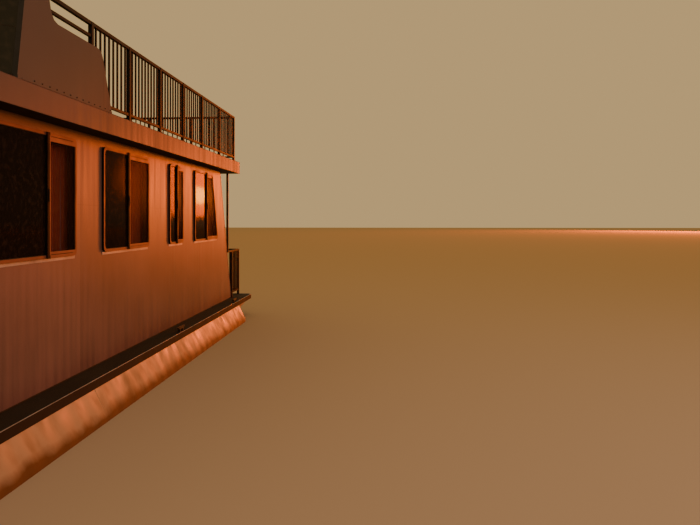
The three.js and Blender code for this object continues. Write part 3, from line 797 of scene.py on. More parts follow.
@dataclass(frozen=True)
class Mesh(Finish):
    """Woven insect screen: dark fibre threads, with the gaps between them coloured as painted shade of
    the dim room behind.
    """

    cover: float = 0.8
    pitch: float = 0.006
    # The gaps' dark tone is painted shade of the dim room behind the screen
    gap: str = "#120c0a"

    def pattern(self, add: Adder, place: Socket) -> Inputs:
        """Threads each way, drawn four times as coarse as the real 1.5 mm so that they show.

        Args:
            add: Adds a node to the material.
            place: The point on the piece, in metres.

        Returns:
            What feeds the shader's inputs.
        """
        split = add("SeparateXYZ", {0: place})
        across = add("Math", {0: split[0], 1: self.pitch / 2}, operation="PINGPONG")
        up = add("Math", {0: split[2], 1: self.pitch / 2}, operation="PINGPONG")
        near = add("Math", {0: across[0], 1: up[0]}, operation="MINIMUM")
        thread = add("MapRange", {0: near[0], 2: self.pitch / 3, 3: 1.0, 4: 0.0})
        # Between the threads the colour is painted shade
        tones = {0: thread[0], 6: linear(self.gap), 7: linear(self.colour)}
        skin = add("Mix", tones, data_type="RGBA")
        relief = add("Bump", {"Distance": 0.001, "Height": thread[0]})
        return {"Base Color": skin[2], "Normal": relief[0], "Alpha": self.cover}


@dataclass(frozen=True)
class Cloth(Finish):
    """Woven curtain cloth: plain weave, a soft sheen, and a faded tone that follows its slubs."""

    faded: str = "#8a4326"
    thread: float = 0.0022

    def pattern(self, add: Adder, place: Socket) -> Inputs:
        """Weave along the cloth's own width and length, from its UV map in metres.

        Args:
            add: Adds a node to the material.
            place: The point on the piece, in metres; not used.

        Returns:
            What feeds the shader's inputs.
        """
        flat = add("UVMap", uv_map="UVMap")[0]
        bands = {0: flat, "Scale": ONE_A_METRE / self.thread, "Distortion": 0.4}
        warp, weft = (add("TexWave", bands, bands_direction=way)[1] for way in "XY")
        weave = add("Math", {0: warp, 1: weft}, operation="MULTIPLY")
        slub = add("TexNoise", {0: flat, "Scale": 14.0, "Detail": 6.0})
        tint = add("Math", {0: weave[0], 1: 0.3, 2: slub[0]}, operation="MULTIPLY_ADD")
        spread = add("MapRange", {0: tint[0], 1: 0.3, 2: 0.9})
        tones = {0: spread[0], 6: linear(self.colour), 7: linear(self.faded)}
        skin = add("Mix", tones, data_type="RGBA")
        relief = add("Bump", {"Strength": 0.6, "Distance": 0.0006, "Height": weave[0]})
        return {
            "Base Color": skin[2],
            "Normal": relief[0],
            "Sheen Weight": 0.35,
            "Sheen Roughness": 0.5,
        }


@dataclass(frozen=True)
class Lens(Finish):
    """Moulded lamp lens: clear coloured plastic with pressed flutes."""

    def pattern(self, add: Adder, place: Socket) -> Inputs:
        """Flutes 4 mm apart pressed in the lens.

        Args:
            add: Adds a node to the material.
            place: The point on the piece, in metres.

        Returns:
            What feeds the shader's inputs.
        """
        flute = add("TexWave", {0: place, "Scale": 78.0}, bands_direction="Z")
        relief = add("Bump", {"Strength": 0.6, "Distance": 0.001, "Height": flute[1]})
        tones = {0: flute[1], 6: linear(self.colour), 7: linear("#ffffff")}
        tint = add("Mix", tones, data_type="RGBA", blend_type="SOFT_LIGHT")
        return {
            "Base Color": tint[2],
            "Normal": relief[0],
            "Transmission Weight": 0.5,
            "IOR": 1.49,
        }


@dataclass(frozen=True)
class Dial(Finish):
    """Printed gauge face behind glass: pale ticks round a dark dial."""

    ticks: int = 24
    tick_tone: str = "#e8e0d0"

    def pattern(self, add: Adder, place: Socket) -> Inputs:
        """Ticks round the face, from its UV map, which is centred on each dial.

        Args:
            add: Adds a node to the material.
            place: The point on the piece, in metres; not used.

        Returns:
            What feeds the shader's inputs.
        """
        flat = add("UVMap", uv_map="UVMap")[0]
        centred = add("Mapping", {"Vector": flat, "Location": (-0.5, -0.5, 0)})
        split = add("SeparateXYZ", {0: centred[0]})
        angle = add("Math", {0: split[1], 1: split[0]}, operation="ARCTAN2")
        step = math.pi / self.ticks
        turn = add("Math", {0: angle[0], 1: step}, operation="PINGPONG")
        mark = add("Math", {0: turn[0], 1: step * 0.3}, operation="LESS_THAN")
        reach = add("VectorMath", {0: centred[0]}, operation="LENGTH")
        band = add("Math", {0: reach[1], 1: 0.40, 2: 0.05}, operation="COMPARE")
        ink = add("Math", {0: mark[0], 1: band[0]}, operation="MULTIPLY")
        tones = {0: ink[0], 6: linear(self.colour), 7: linear(self.tick_tone)}
        skin = add("Mix", tones, data_type="RGBA")
        return {"Base Color": skin[2], "Coat Weight": 1.0}


# What the boat is finished in. Sizes are in metres

PEEL = (0.003, 0.003, 0.003)
CAST = (0.016, 0.016, 0.016)
GRIT = (0.004, 0.004, 0.004)
LEATHER = (0.0028, 0.0028, 0.0028)
MOULDED = (0.0014, 0.0014, 0.0014)

# Cabin sides: copper-brown satin enamel on 1.2 m wide sheets, which mirrors softly at a low angle
CABIN_PAINT = SheetPaint("satin_enamel_on_sheet", "#5b423b", 0.40, gloss=0.44)
# End walls: the same enamel, with the sheets side by side across the boat
END_WALL_PAINT = SheetPaint("satin_enamel_on_end_sheet", "#5b423b", 0.40, gloss=0.44, across=Axis.Y)
# Roof edge: redder brown enamel, duller and more streaked by water off the upper deck
FASCIA_PAINT = SheetPaint(
    "weathered_enamel_on_fascia", "#4a3b37", 0.45, 0.0, 0.3, "#5f4a42", 2.44, level=0.0
)
# Side panels beside the upper deck: dark taupe enamel on flat sheet
WING_PAINT = SheetPaint("taupe_enamel_on_sheet", "#4f463e", 0.5, 0.0, 0.15, "#5a5046", 4.0, level=0.0)
# Pontoons: welded aluminium plate gone tan with weather, softly bright above the scum line
HULL_PLATE = Plate("weathered_marine_aluminium", "#ab8a68", 0.46)
# Main deck: near-black brown grit paint
DECK_GRIT = Worn(
    "non_skid_deck_paint", "#17110d", 0.85, 0.0, 0.5, "#2c221b", 0.8, 0.6, Relief.CELLS, GRIT, 0.001
)
# Upper deck: the same paint in a paler grey-brown
UPPER_GRIT = Worn(
    "non_skid_upper_deck_paint", "#6d5f50", 0.82, 0.0, 0.5, "#857664", 0.8, 0.6, Relief.CELLS, GRIT, 0.001
)
# Railings, gates and posts: black powder coat with a soft shine along its edges
RAIL_COAT = Worn("black_powder_coat", "#14100e", 0.5, 0.0, 0.2, "#382d28", 0.28, size=PEEL)
# Deck edging and drip trims: mill aluminium angle, bright where it catches light
EDGE_ALLOY = Worn("mill_aluminium_angle", "#a9a59e", 0.4, 0.5)
# Window and door frames: bronze-toned anodised sections
FRAME_ALLOY = Worn("bronze_anodised_section", "#7a4834", 0.45, 0.1, 0.25, "#5c3828")
# Window stiles: black anodised sections between the panes; the same black is painted shade on the frames'
# bow-facing faces
BLACK_ALLOY_AND_PAINTED_SHADE = Worn("black_anodised_section", "#0d0a09", 0.6, 0.0, 0.15, "#15100e")
# Deck sides: dark brown enamel, darkened as painted shade
DECK_SIDE_PAINTED_SHADE = Worn("dark_brown_enamel", "#1d120d", 0.6, 0.0, 0.3, "#2e1f17", 0.28, size=PEEL)
# Cleats: cast aluminium polished by rope
CLEAT_ALLOY = Worn("rope_worn_cast_aluminium", "#4a3c32", 0.4, 0.8, size=CAST)
# Underside of the roof: very dark brown enamel, darkened as painted shade, which reads as a black line
# over the walls
SOFFIT_PAINTED_SHADE = Worn("dark_soffit_enamel", "#1c120c", 0.7, 0.0, 0.3, "#2a1c14", 0.28, size=PEEL)
# Screws in the side panels: browned steel
DARK_SCREW = Worn("browned_steel_screw", "#2a1e18", 0.5, 0.6)
# Ladder: mill aluminium tube and tread plate
LADDER_ALLOY = Worn("mill_aluminium_tube", "#a39a8e", 0.34, 0.9)
# Fittings: polished stainless steel
STAINLESS = Worn("polished_stainless", "#a8a29a", 0.16, 0.9, worn="#7b6f62")
# Panes: bronze-tinted float glass that mirrors what is before it
WINDOW_GLASS = Glass("bronze_tinted_float_glass", "#1a130e", 0.08, gloss=0.012, clear=0.0, body=0.92)
# Aft panes: clear float glass behind an insect screen, so it hardly mirrors
SCREENED_GLASS = Glass("clear_float_glass", "#1a0f0b", 0.2, gloss=0.1, clear=0.0, body=0.1)
# Windscreen: smoked acrylic, made nearly black partly as painted shade
SCREEN_ACRYLIC = Glass("smoked_acrylic", "#14120f", 0.06, gloss=0.4, clear=0.2, ior=1.49)
# Insect screens: charcoal glass-fibre mesh
INSECT_MESH = Mesh("charcoal_fibre_mesh", "#2b211c", 0.9, gloss=0.1, cover=0.2)
# Curtains: russet plain-weave cotton
CURTAIN_CLOTH = Cloth("russet_cotton_weave", "#b03a20", 0.85, faded="#c85a38")
# Helm and bench: cream gel coat, chalked in places
HELM_GEL = Worn("cream_gel_coat", "#c4b496", 0.3, worn="#d4c6ad", cloud=0.33, size=CAST, coat=0.5)
# Cushions: tan marine vinyl pressed with leather grain, with darker welt piping
SEAT_VINYL = Worn(
    "tan_marine_vinyl", "#b9a27c", 0.48, worn="#8d7a5c", relief=Relief.CELLS, size=LEATHER, depth=0.0004
)
PIPING_VINYL = Worn("brown_vinyl_piping", "#5d4632", 0.5, worn="#3c2c1f", size=LEATHER, depth=0.0002)
# Stern drive: charcoal sprayed enamel on cast aluminium
DRIVE_ENAMEL = Worn("charcoal_spray_enamel", "#25272a", 0.3, worn="#4b453d", share=0.28, size=PEEL)
# Propeller: ground and polished aluminium
PROP_METAL = Worn("ground_aluminium_casting", "#a4a5a8", 0.24, 0.9, worn="#6d6a66")
# Engine: grey cast iron under old enamel
ENGINE_ENAMEL = Worn("grey_engine_enamel", "#45484a", 0.55, worn="#6a5a4c", share=0.28, size=CAST)
# Seals, grips and caps: black rubber, greyed by sun; the side panels' bow-facing ends take it as painted
# shade
BLACK_RUBBER_AND_PAINTED_SHADE = Worn("weathered_black_rubber", "#141210", 0.7, worn="#3d3833", cloud=0.11, size=MOULDED)
# Mastic along the cabin's foot
BROWN_MASTIC = Worn("brown_mastic_bead", "#241710", 0.62, worn="#3a281c", cloud=0.11, size=MOULDED)
# Sacrificial anodes: dull zinc
ZINC = Worn("dull_cast_zinc", "#8d8f90", 0.6, 0.9, worn="#c2c3c0", size=CAST)
# Lamp lenses
RED_LENS = Lens("red_lamp_lens", "#b3160c", 0.12)
GREEN_LENS = Lens("green_lamp_lens", "#0c7a33", 0.12)
CLEAR_LENS = Lens("clear_lamp_lens", "#f2ece0", 0.12)
# Gauge faces
GAUGE_FACE = Dial("printed_gauge_face", "#101010", 0.3)


# The boat's sub-assemblies


@dataclass
class SubAssembly:
    """A part of the boat that models its own pieces and dresses them."""

    def dress(
        self,
        piece: Piece,
        finish: Finish,
        slot: str,
        body: str = "boat",
        stands_for: Sequence[str] = (),
    ) -> Piece:
        """Gives a piece its finish, and fastens it to a body of the frame.

        Args:
            piece: The finished mesh.
            finish: What it is made of.
            slot: The record's material slot that it belongs to; not used.
            body: The body that it moves with.
            stands_for: The frame's nodes that it replaces.

        Returns:
            The same piece.
        """
        if not piece.data.materials:
            piece.data.materials.append(finish.material())
        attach(piece, body)
        if stands_for:
            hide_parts(*stands_for)
        LOG.info("%s: %s, on %s", piece.name, finish.name, body)
        return piece

    def reface(self, piece: Piece, finishes: Sequence[Finish], choice: FaceChoice) -> None:
        """Gives a piece several finishes, chosen face by face.

        Args:
            piece: The piece to dress.
            finishes: The finishes in order.
            choice: Says of a face's middle and normal which finish it takes.
        """
        piece.data.materials.clear()
        for finish in finishes:
            piece.data.materials.append(finish.material())
        for face in piece.data.polygons:
            face.material_index = choice(face.center, face.normal)

    def refinish(self, node: str, finish: Finish) -> None:
        """Gives its finish to a node of the frame that shows as it is.

        Args:
            node: The frame node's name.
            finish: What it is made of.
        """
        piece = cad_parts[node]
        piece.data.materials.clear()
        piece.data.materials.append(finish.material())

    def both_sides(
        self, piece: Piece, finish: Finish, slot: str, stands_for: Sequence[str] = ()
    ) -> None:
        """Dresses a port piece and its mirrored twin; each name has {side} in it.

        Args:
            piece: The port piece, named with {side} where the side's word goes.
            finish: What both are made of.
            slot: The record's material slot.
            stands_for: Names of replaced nodes, with {side} in them.
        """
        pattern = piece.name
        twin = mirrored(piece, pattern.replace("{side}", Side.STARBOARD.word))
        piece.name = pattern.replace("{side}", Side.PORT.word)
        for made, side in ((piece, Side.PORT), (twin, Side.STARBOARD)):
            nodes = [node.replace("{side}", side.word) for node in stands_for]
            self.dress(made, finish, slot, stands_for=nodes)


@dataclass
class Hull(SubAssembly):
    """Twin pontoons of welded plate, and the engine pod between them."""

    weld_start: float = 0.25
    weld_pitch: float = 2.07
    weld_radius: float = 0.004
    flush: float = 0.0003
    edge: float = 0.006
    anode: Point = (0.03, 0.16, 0.075)
    anode_level: float = 0.30
    transom_y: float = 1.55
    plug_rise: float = 0.22
    tow_at: Point = (5.75, 1.58, 0.64)

    def build(self) -> None:
        """Models the hull's pieces."""
        for side in Side:
            self.plating(side)
            self.welds(side)
        self.transom_fittings()
        self.tow_eye()
        pod = eased(from_node("engine_pod", "engine_pod_plating"), self.edge)
        self.dress(pod, HULL_PLATE, "hull_plate", stands_for=["engine_pod"])
        self.refinish("engine_block", ENGINE_ENAMEL)

    def plating(self, side: Side) -> None:
        """Models one pontoon's plating from the frame's solid, with its edges eased.

        Args:
            side: Which pontoon it is.
        """
        node = f"pontoon_{side.word}"
        plating = eased(from_node(node, f"{node}_plating"), self.edge, segments=3)
        self.dress(plating, HULL_PLATE, "hull_plate", stands_for=[node])

    def welds(self, side: Side) -> None:
        """Models the weld beads round one pontoon where its plates meet.

        Args:
            side: Which pontoon it is.
        """
        node = f"pontoon_{side.word}"
        low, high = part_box(node)
        count = int((high.x - 1.5 - low.x) / self.weld_pitch)
        first = self.weld_start - self.weld_pitch * int((self.weld_start - low.x) / self.weld_pitch)
        beads = []
        for i in range(count):
            at = (first + i * self.weld_pitch, 0, 0)
            bead = parted(from_node(node, f"bead_{i}"), at, BOWWARD, clear_inner=True, clear_outer=True)
            bpy.ops.object.convert(target="CURVE")
            bead.data.bevel_depth = self.weld_radius
            bead.data.bevel_resolution = 2
            bpy.ops.object.convert(target="MESH")
            beads.append(bead)
        whole = eased(joined(f"{node}_weld_beads", beads), 0.0)
        # The beads are ground flush on the hull's flat bottom and at its widest line
        widest = max(-low.y, high.y) - self.flush
        for vertex in whole.data.vertices:
            vertex.co.y = min(max(vertex.co.y, -widest), widest)
            vertex.co.z = max(vertex.co.z, low.z + self.flush)
        self.dress(whole, HULL_PLATE, "hull_plate")

    def transom_fittings(self) -> None:
        """Models each pontoon's zinc anode, its two bolts, and the drain plug above it."""
        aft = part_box("engine_pod")[0].x
        depth, width, height = self.anode
        y = self.transom_y
        low = Vector((aft - depth, y - width / 2, self.anode_level - height / 2))
        block = add_block("transom_anode_{side}", low, low + Vector(self.anode))
        block = eased(dished(block, AFTWARD, (0.018, -0.006)), 0.008, 3)
        bolts = [
            bolt_head("bolt", (aft - depth - 0.004, y + dy, self.anode_level), 0.011, 0.008, AFTWARD)
            for dy in (-0.045, 0.045)
        ]
        self.both_sides(joined("transom_anode_{side}", [block, *bolts]), ZINC, "prop_metal")
        z = self.anode_level + self.plug_rise
        flange = add_rod("flange", (aft + 0.002, y, z), (aft - 0.006, y, z), 0.032, 28)
        hexagon = add_rod("hexagon", (aft - 0.004, y, z), (aft - 0.024, y, z), 0.016, 6)
        plug = eased(joined("transom_plug_{side}", [flange, hexagon]), 0.0015)
        self.both_sides(plug, STAINLESS, "ladder_tube")

    def tow_eye(self) -> None:
        """Models the tow eye on each pontoon's nose, with its backing plate."""
        x, y, z = self.tow_at
        plate = add_block("plate", (x - 0.002, y - 0.035, z - 0.075), (x + 0.006, y + 0.035, z + 0.075))
        loop = rectangle((x, y, z - 0.045), (x + 0.06, y, z + 0.045))
        eye = add_tube("eye", loop, 0.008, bend=0.035)
        fitting = joined("tow_eye_{side}", [eased(plate, 0.003), eye])
        self.both_sides(eased(fitting, 0.0), STAINLESS, "ladder_tube")


@dataclass
class Deck(SubAssembly):
    """The main deck: grit-painted slab, alloy edging, hatches, fillers and the cabin's foot bead."""

    bow_corner: float = 0.35
    stern_corner: float = 0.06
    edging_width: float = 0.008
    edging_height: float = 0.005
    hatch_rim: float = 0.022
    # middle x, middle y, length, width
    hatches: Sequence[Point] = (
        (4.75, 0.95, 0.62, 0.46),
        (4.75, -0.95, 0.62, 0.46),
        (-5.80, 0.55, 0.36, 0.52),
        (-5.80, -0.55, 0.36, 0.52),
    )
    # middle x, middle y
    fillers: Sequence[Point] = ((-3.4, -1.88), (-2.7, -1.88), (3.2, -1.88), (3.2, 1.88))
    bead: float = 0.009

    def build(self) -> None:
        """Models the deck's pieces."""
        self.slab()
        self.edging()
        for number, hatch in enumerate(self.hatches, 1):
            self.hatch(f"deck_hatch_{number}", *hatch)
        self.filler_plates()
        self.foot_bead()

    def outline(self, z: float) -> list[Point]:
        """Gives the deck's corners at a height, in turning order.

        Args:
            z: The height.

        Returns:
            The eight corners.
        """
        low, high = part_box("main_deck")
        bow, stern = self.bow_corner, self.stern_corner
        half = [
            (low.x, high.y - stern, z),
            (low.x + stern, high.y, z),
            (high.x - bow, high.y, z),
            (high.x, high.y - bow, z),
        ]
        return half + [(x, -y, z) for x, y, z in reversed(half)]

    def slab(self) -> None:
        """Models the deck from the frame's solid: grit on top, sides darkened as painted shade, bare
        cleats.
        """
        slab = eased(from_node("main_deck", "main_deck_slab"), 0.003)
        top = DECK_TOP + 0.001

        def choice(middle: Vector, normal: Vector) -> int:
            """Finds the cleats by their height, and the grit by the way that it looks."""
            return 2 if middle.z > top else 0 if normal.z > 0.5 else 1

        # The deck's sides take near-black enamel as painted shade
        self.reface(slab, [DECK_GRIT, DECK_SIDE_PAINTED_SHADE, CLEAT_ALLOY], choice)
        self.dress(slab, DECK_GRIT, "deck_coat", stands_for=["main_deck"])

    def edging(self) -> None:
        """Models the alloy angle that caps the deck's edge all round."""
        corners = self.outline(DECK_TOP + 0.0005)
        edging = add_ring("main_deck_edging", corners, self.edging_width, (0, 0, self.edging_height))
        self.dress(eased(edging, 0.0015), EDGE_ALLOY, "ladder_tube")

    def hatch(self, name: str, x: float, y: float, length: float, width: float) -> None:
        """Models a flush hatch: an alloy rim, a grit-painted lid and a recessed ring pull.

        Args:
            name: The hatch's name.
            x: Its middle, fore and aft.
            y: Its middle, athwart.
            length: Its size fore and aft.
            width: Its size athwart.
        """
        middle, half = Vector((x, y, DECK_TOP)), Vector((length / 2, width / 2, 0))
        corners = rectangle(middle - half, middle + half)
        rim = add_ring(f"{name}_rim", corners, self.hatch_rim, (0, 0, 0.006), radius=0.04)
        self.dress(eased(rim, 0.0015), EDGE_ALLOY, "ladder_tube")
        half -= Vector((self.hatch_rim + 0.004, self.hatch_rim + 0.004, 0))
        inner = rectangle(middle - half, middle + half)
        lid = add_prism(f"{name}_lid", inner, (0, 0, 0.005), radius=0.02)
        self.dress(eased(lid, 0.0015), DECK_GRIT, "deck_coat")
        edge, z = y + width / 2 - 0.09, DECK_TOP
        cup = add_rod("cup", (x, edge, z + 0.004), (x, edge, z + 0.008), 0.034, 28)
        cup = dished(cup, UPWARD, (0.006, 0.003))
        loop = rectangle((x - 0.02, edge - 0.015, z + 0.009), (x + 0.02, edge + 0.015, z + 0.009))
        pull = add_tube("pull", loop, 0.003, bend=0.010, closed=True)
        self.dress(eased(joined(f"{name}_pull", [cup, pull]), 0.0), STAINLESS, "ladder_tube")

    def filler_plates(self) -> None:
        """Models the deck fillers: a dished plate, a cap with two key holes and three screws."""
        z = DECK_TOP
        for number, (x, y) in enumerate(self.fillers, 1):
            plate = add_rod("plate", (x, y, z - 0.002), (x, y, z + 0.005), 0.05, 40)
            plate = dished(plate, UPWARD, (0.016, 0.002))
            cap = add_rod("cap", (x, y, z + 0.002), (x, y, z + 0.008), 0.03, 32)
            holes = [
                add_rod("hole", (x + dx, y, z + 0.006), (x + dx, y, z + 0.0085), 0.004, 10)
                for dx in (-0.014, 0.014)
            ]
            spots = [(math.cos(turn), math.sin(turn)) for turn in (0.5, 0.5 + 2.094, 0.5 + 4.189)]
            screws = [
                bolt_head("screw", (x + 0.041 * a, y + 0.041 * b, z + 0.004), 0.0045, 0.003, UPWARD)
                for a, b in spots
            ]
            whole = joined(f"deck_filler_{number}", [plate, cap, *holes, *screws])
            self.dress(eased(whole, 0.0008), STAINLESS, "ladder_tube")

    def foot_bead(self) -> None:
        """Models the mastic bead where the cabin stands on the deck."""
        low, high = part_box("cabin_side_port")
        out, z = self.bead / 2, DECK_TOP + 0.001
        corners = rectangle((low.x - out, -high.y - out, z), (high.x + out, high.y + out, z))
        bead = add_ring("cabin_foot_bead", corners, self.bead * 2, (0, 0, self.bead), radius=0.01)
        self.dress(eased(bead, self.bead / 3, 3), BROWN_MASTIC, "deck_coat")


@dataclass
class Rake:
    """A raked end wall's outer face: where it stands at a height."""

    foot: float
    head: float

    def x(self, z: float) -> float:
        """Gives the face's place fore and aft at a height."""
        share = (z - DECK_TOP) / (SOFFIT - DECK_TOP)
        return self.foot + (self.head - self.foot) * share

    @property
    def lean(self) -> float:
        """The rake's run for each metre of height."""
        return (self.head - self.foot) / (SOFFIT - DECK_TOP)

    @property
    def outward(self) -> Vector:
        """The face's outward direction."""
        aft = math.copysign(1.0, self.foot)
        return Vector((aft, 0.0, -aft * self.lean)).normalized()

    def corners(self, y: Point, z: Point, out: float) -> list[Point]:
        """Gives the corners of an upright panel that lies a distance outside the face.

        Args:
            y: The panel's two edges, athwart.
            z: Its foot and its head.
            out: How far outside the face it lies.

        Returns:
            The four corners.
        """
        return [
            (self.x(level) + math.copysign(out, self.foot), across, level)
            for across, level in ((y[0], z[0]), (y[1], z[0]), (y[1], z[1]), (y[0], z[1]))
        ]


FORE_RAKE = Rake(foot=3.80, head=3.20)
AFT_RAKE = Rake(foot=-5.536, head=-4.807)


@dataclass
class CabinWalls(SubAssembly):
    """The cabin's painted sheet walls, their corner angles and the fixed fore panes' seals."""

    edge: float = 0.002
    corner_width: float = 0.032
    corner_proud: float = 0.0022
    pane_sill: float = 1.955
    pane_head: float = 2.850
    seal_width: float = 0.016
    seal_depth: float = 0.019

    def build(self) -> None:
        """Models the walls."""
        for side in Side:
            node = f"cabin_side_{side.word}"
            wall = eased(from_node(node, f"{node}_sheet"), self.edge)
            self.dress(wall, CABIN_PAINT, "wall_panel", stands_for=[node])
        for end, rake in (("fore", FORE_RAKE), ("aft", AFT_RAKE)):
            self.end_wall(f"cabin_{end}_wall", rake)
            self.corner_angles(end, rake)
        for side in Side:
            self.pane_seal(side)

    def end_wall(self, node: str, rake: Rake) -> None:
        """Models an end wall with its sheet painted and its door tracks bare.

        Args:
            node: The wall's node.
            rake: The wall's rake.
        """
        wall = eased(from_node(node, f"{node}_sheet"), self.edge)
        proud = 0.004

        def choice(middle: Vector, normal: Vector) -> int:
            """Takes what stands proud of the sheet for a door track."""
            return int((middle.x - rake.x(middle.z)) * math.copysign(1.0, rake.foot) > proud)

        self.reface(wall, [END_WALL_PAINT, FRAME_ALLOY], choice)
        self.dress(wall, END_WALL_PAINT, "wall_panel", stands_for=[node])

    def corner_angles(self, end: str, rake: Rake) -> None:
        """Models the painted angle that covers each upright corner where end and side walls meet.

        Args:
            end: Which end of the cabin it is.
            rake: That end's rake.
        """
        low, high = DECK_TOP + 0.001, SOFFIT - 0.001
        inward = -math.copysign(self.corner_width, rake.foot)
        places = ((0, low), (inward, low), (inward, high), (0, high))
        corners = [(rake.x(z) + across, CABIN_Y, z) for across, z in places]
        angle = add_prism(f"cabin_{end}_corner_angle_{{side}}", corners, (0, self.corner_proud, 0))
        self.both_sides(eased(angle, 0.0008), CABIN_PAINT, "wall_panel")

    def pane_seal(self, side: Side) -> None:
        """Models the rubber seal inside the opening of one fixed fore pane.

        Args:
            side: Which side the pane is on.
        """
        node = f"fore_pane_{side.word}"
        low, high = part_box(node)
        corners = FORE_RAKE.corners((low.y, high.y), (self.pane_sill, self.pane_head), -0.0005)
        seal = add_ring(f"{node}_seal", corners, self.seal_width, (-self.seal_depth, 0, 0))
        self.dress(eased(seal, 0.002), BLACK_RUBBER_AND_PAINTED_SHADE, "window_frame")
        self.refinish(node, WINDOW_GLASS)


@dataclass
class SideWindow(SubAssembly):
    """One sliding side window: frame, glass, stiles, seal, insect screen and pulls, both sides."""

    name: str
    # fore edge, aft edge
    stiles: Sequence[Point]
    raked: bool = False
    rim: float = 0.028
    proud: float = 0.024
    stile_proud: float = 0.037
    glass_face: float = 0.0167
    corner: float = 0.034
    seal: float = 0.006
    edge: float = 0.0015
    strip: float = 0.013
    screen_rim: float = 0.012
    rails: Point = (0.024, 0.042)
    sill: Point = (0.030, 0.004)
    pull: Point = (0.012, 0.110)

    def build(self) -> None:
        """Models the window on the port side, and mirrors it to starboard."""
        self.frame_ring()
        self.glass_seal()
        for number, (fore, aft) in enumerate(self.stiles, 1):
            self.stile_trims(number, fore, aft)
        self.screen()
        self.sill_strip()
        self.panes()

    def outline(self, margin: float, out: float) -> list[Point]:
        """Gives the window's corners, moved inwards by a margin, at a distance from the wall's face.

        Args:
            margin: How far inside the frame's outline it lies.
            out: How far outside the wall's face it lies.

        Returns:
            The four corners.
        """
        low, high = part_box(f"{self.name}_window_frame_port")
        lean = AFT_RAKE.lean if self.raked else 0.0
        slant = margin * (math.hypot(1.0, lean) - lean)
        steep = margin * (math.hypot(1.0, lean) + lean)
        y = CABIN_Y + out
        return [
            (high.x - margin, y, low.z + margin),
            (high.x - margin, y, high.z - margin),
            (low.x + lean * (high.z - low.z) + slant, y, high.z - margin),
            (low.x + steep, y, low.z + margin),
        ]

    def frame_ring(self) -> None:
        """Models the frame and its stiles from the frame's solid, in bronze and in black, with black as
        painted shade on the faces that look towards the bow.
        """
        node = f"{self.name}_window_frame"
        ring = eased(from_node(f"{node}_port", f"{node}_section_{{side}}"), self.edge)
        y = CABIN_Y + self.proud + 0.001

        def choice(middle: Vector, normal: Vector) -> int:
            """Turns faces that stand before the frame black, and faces that look towards the bow black as
            painted shade.
            """
            return int(middle.y > y or normal.x > 0.6)

        self.reface(ring, [FRAME_ALLOY, BLACK_ALLOY_AND_PAINTED_SHADE], choice)
        self.both_sides(ring, FRAME_ALLOY, "window_frame", [f"{node}_{{side}}"])

    def glass_seal(self) -> None:
        """Models the black rubber between the frame and the glass."""
        corners = self.outline(self.rim - 0.0005, self.glass_face - 0.001)
        name = f"{self.name}_window_seal_{{side}}"
        seal = add_ring(name, corners, self.seal, (0, 0.005, 0), radius=self.corner)
        self.both_sides(eased(seal, 0.002), BLACK_RUBBER_AND_PAINTED_SHADE, "window_frame")

    def stile_trims(self, number: int, fore: float, aft: float) -> None:
        """Models the bright edge strip and the finger pull of a stile between two panes.

        Args:
            number: Which stile of the window it is.
            fore: Its fore edge.
            aft: Its aft edge.
        """
        low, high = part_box(f"{self.name}_window_frame_port")
        face = CABIN_Y + self.stile_proud
        name = f"{self.name}_window_stile_strip_{number}_{{side}}"
        foot, head = (aft, face, low.z + self.rim), (aft + self.strip, face + 0.001, high.z - self.rim)
        self.both_sides(eased(add_block(name, foot, head), 0.0004), FRAME_ALLOY, "window_frame")
        width, length = self.pull
        foot = Vector(((fore + aft - width) / 2, face, (low.z + high.z - length) / 2))
        name = f"{self.name}_window_pull_{number}_{{side}}"
        pull = add_block(name, foot, foot + Vector((width, 0.005, length)))
        pull = dished(pull, PORTWARD, (0.003, 0.003))
        self.both_sides(eased(pull, 0.0012), BLACK_RUBBER_AND_PAINTED_SHADE, "window_frame")

    def panes(self) -> None:
        """Models the glass: mirroring forward of the last stile, and clear behind the screen."""
        node = f"{self.name}_window_pane"
        parting = sum(self.stiles[-1]) / 2
        glass = from_node(f"{node}_port", f"{node}_glass_{{side}}")
        parted(glass, (parting, 0, 0), BOWWARD)
        self.reface(glass, [WINDOW_GLASS, SCREENED_GLASS], lambda middle, normal: middle.x < parting)
        self.both_sides(eased(glass, 0.0), WINDOW_GLASS, "tinted_glass", [f"{node}_{{side}}"])

    def screen(self) -> None:
        """Models the insect screen over the aft pane, in its own thin frame."""
        aft_stile = self.stiles[-1][1]
        inner = self.outline(self.rim + self.seal - 0.002, self.glass_face + 0.0008)
        corners = [(aft_stile - 0.001, *inner[0][1:]), (aft_stile - 0.001, *inner[1][1:]), *inner[2:]]
        name = f"{self.name}_window_screen"
        rim = add_ring(f"{name}_frame_{{side}}", corners, self.screen_rim, (0, 0.005, 0))
        self.both_sides(eased(rim, 0.0015), BLACK_ALLOY_AND_PAINTED_SHADE, "window_frame")
        inset = [(x, y + 0.002, z) for x, y, z in corners]
        cloth = add_prism(f"{name}_{{side}}", inset, (0, 0.0012, 0))
        self.both_sides(cloth, INSECT_MESH, "window_frame")
        # The sliding pane's own rails
        lean = AFT_RAKE.lean if self.raked else 0.0
        ends = {"head": (corners[1:3], -self.rails[1]), "sill": (corners[::3], self.rails[0])}
        for word, ((fore, aft), rise) in ends.items():
            inner = Vector(aft) + Vector((lean * rise, 0, rise))
            outline = [fore, aft, inner, Vector(fore) + Vector((0, 0, rise))]
            rail = add_prism(f"{self.name}_window_{word}_rail_{{side}}", outline, (0, 0.0062, 0))
            self.both_sides(eased(rail, 0.0012), FRAME_ALLOY, "window_frame")

    def sill_strip(self) -> None:
        """Models the pale drip sill under the frame, which lies against the wall."""
        low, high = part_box(f"{self.name}_window_frame_port")
        height, depth = self.sill
        sill = add_block(
            f"{self.name}_window_sill_{{side}}",
            (low.x + 0.004, CABIN_Y + 0.0004, low.z - height + 0.001),
            (high.x - 0.004, CABIN_Y + depth, low.z + 0.001),
        )
        self.both_sides(eased(sill, 0.0015), EDGE_ALLOY, "window_frame")


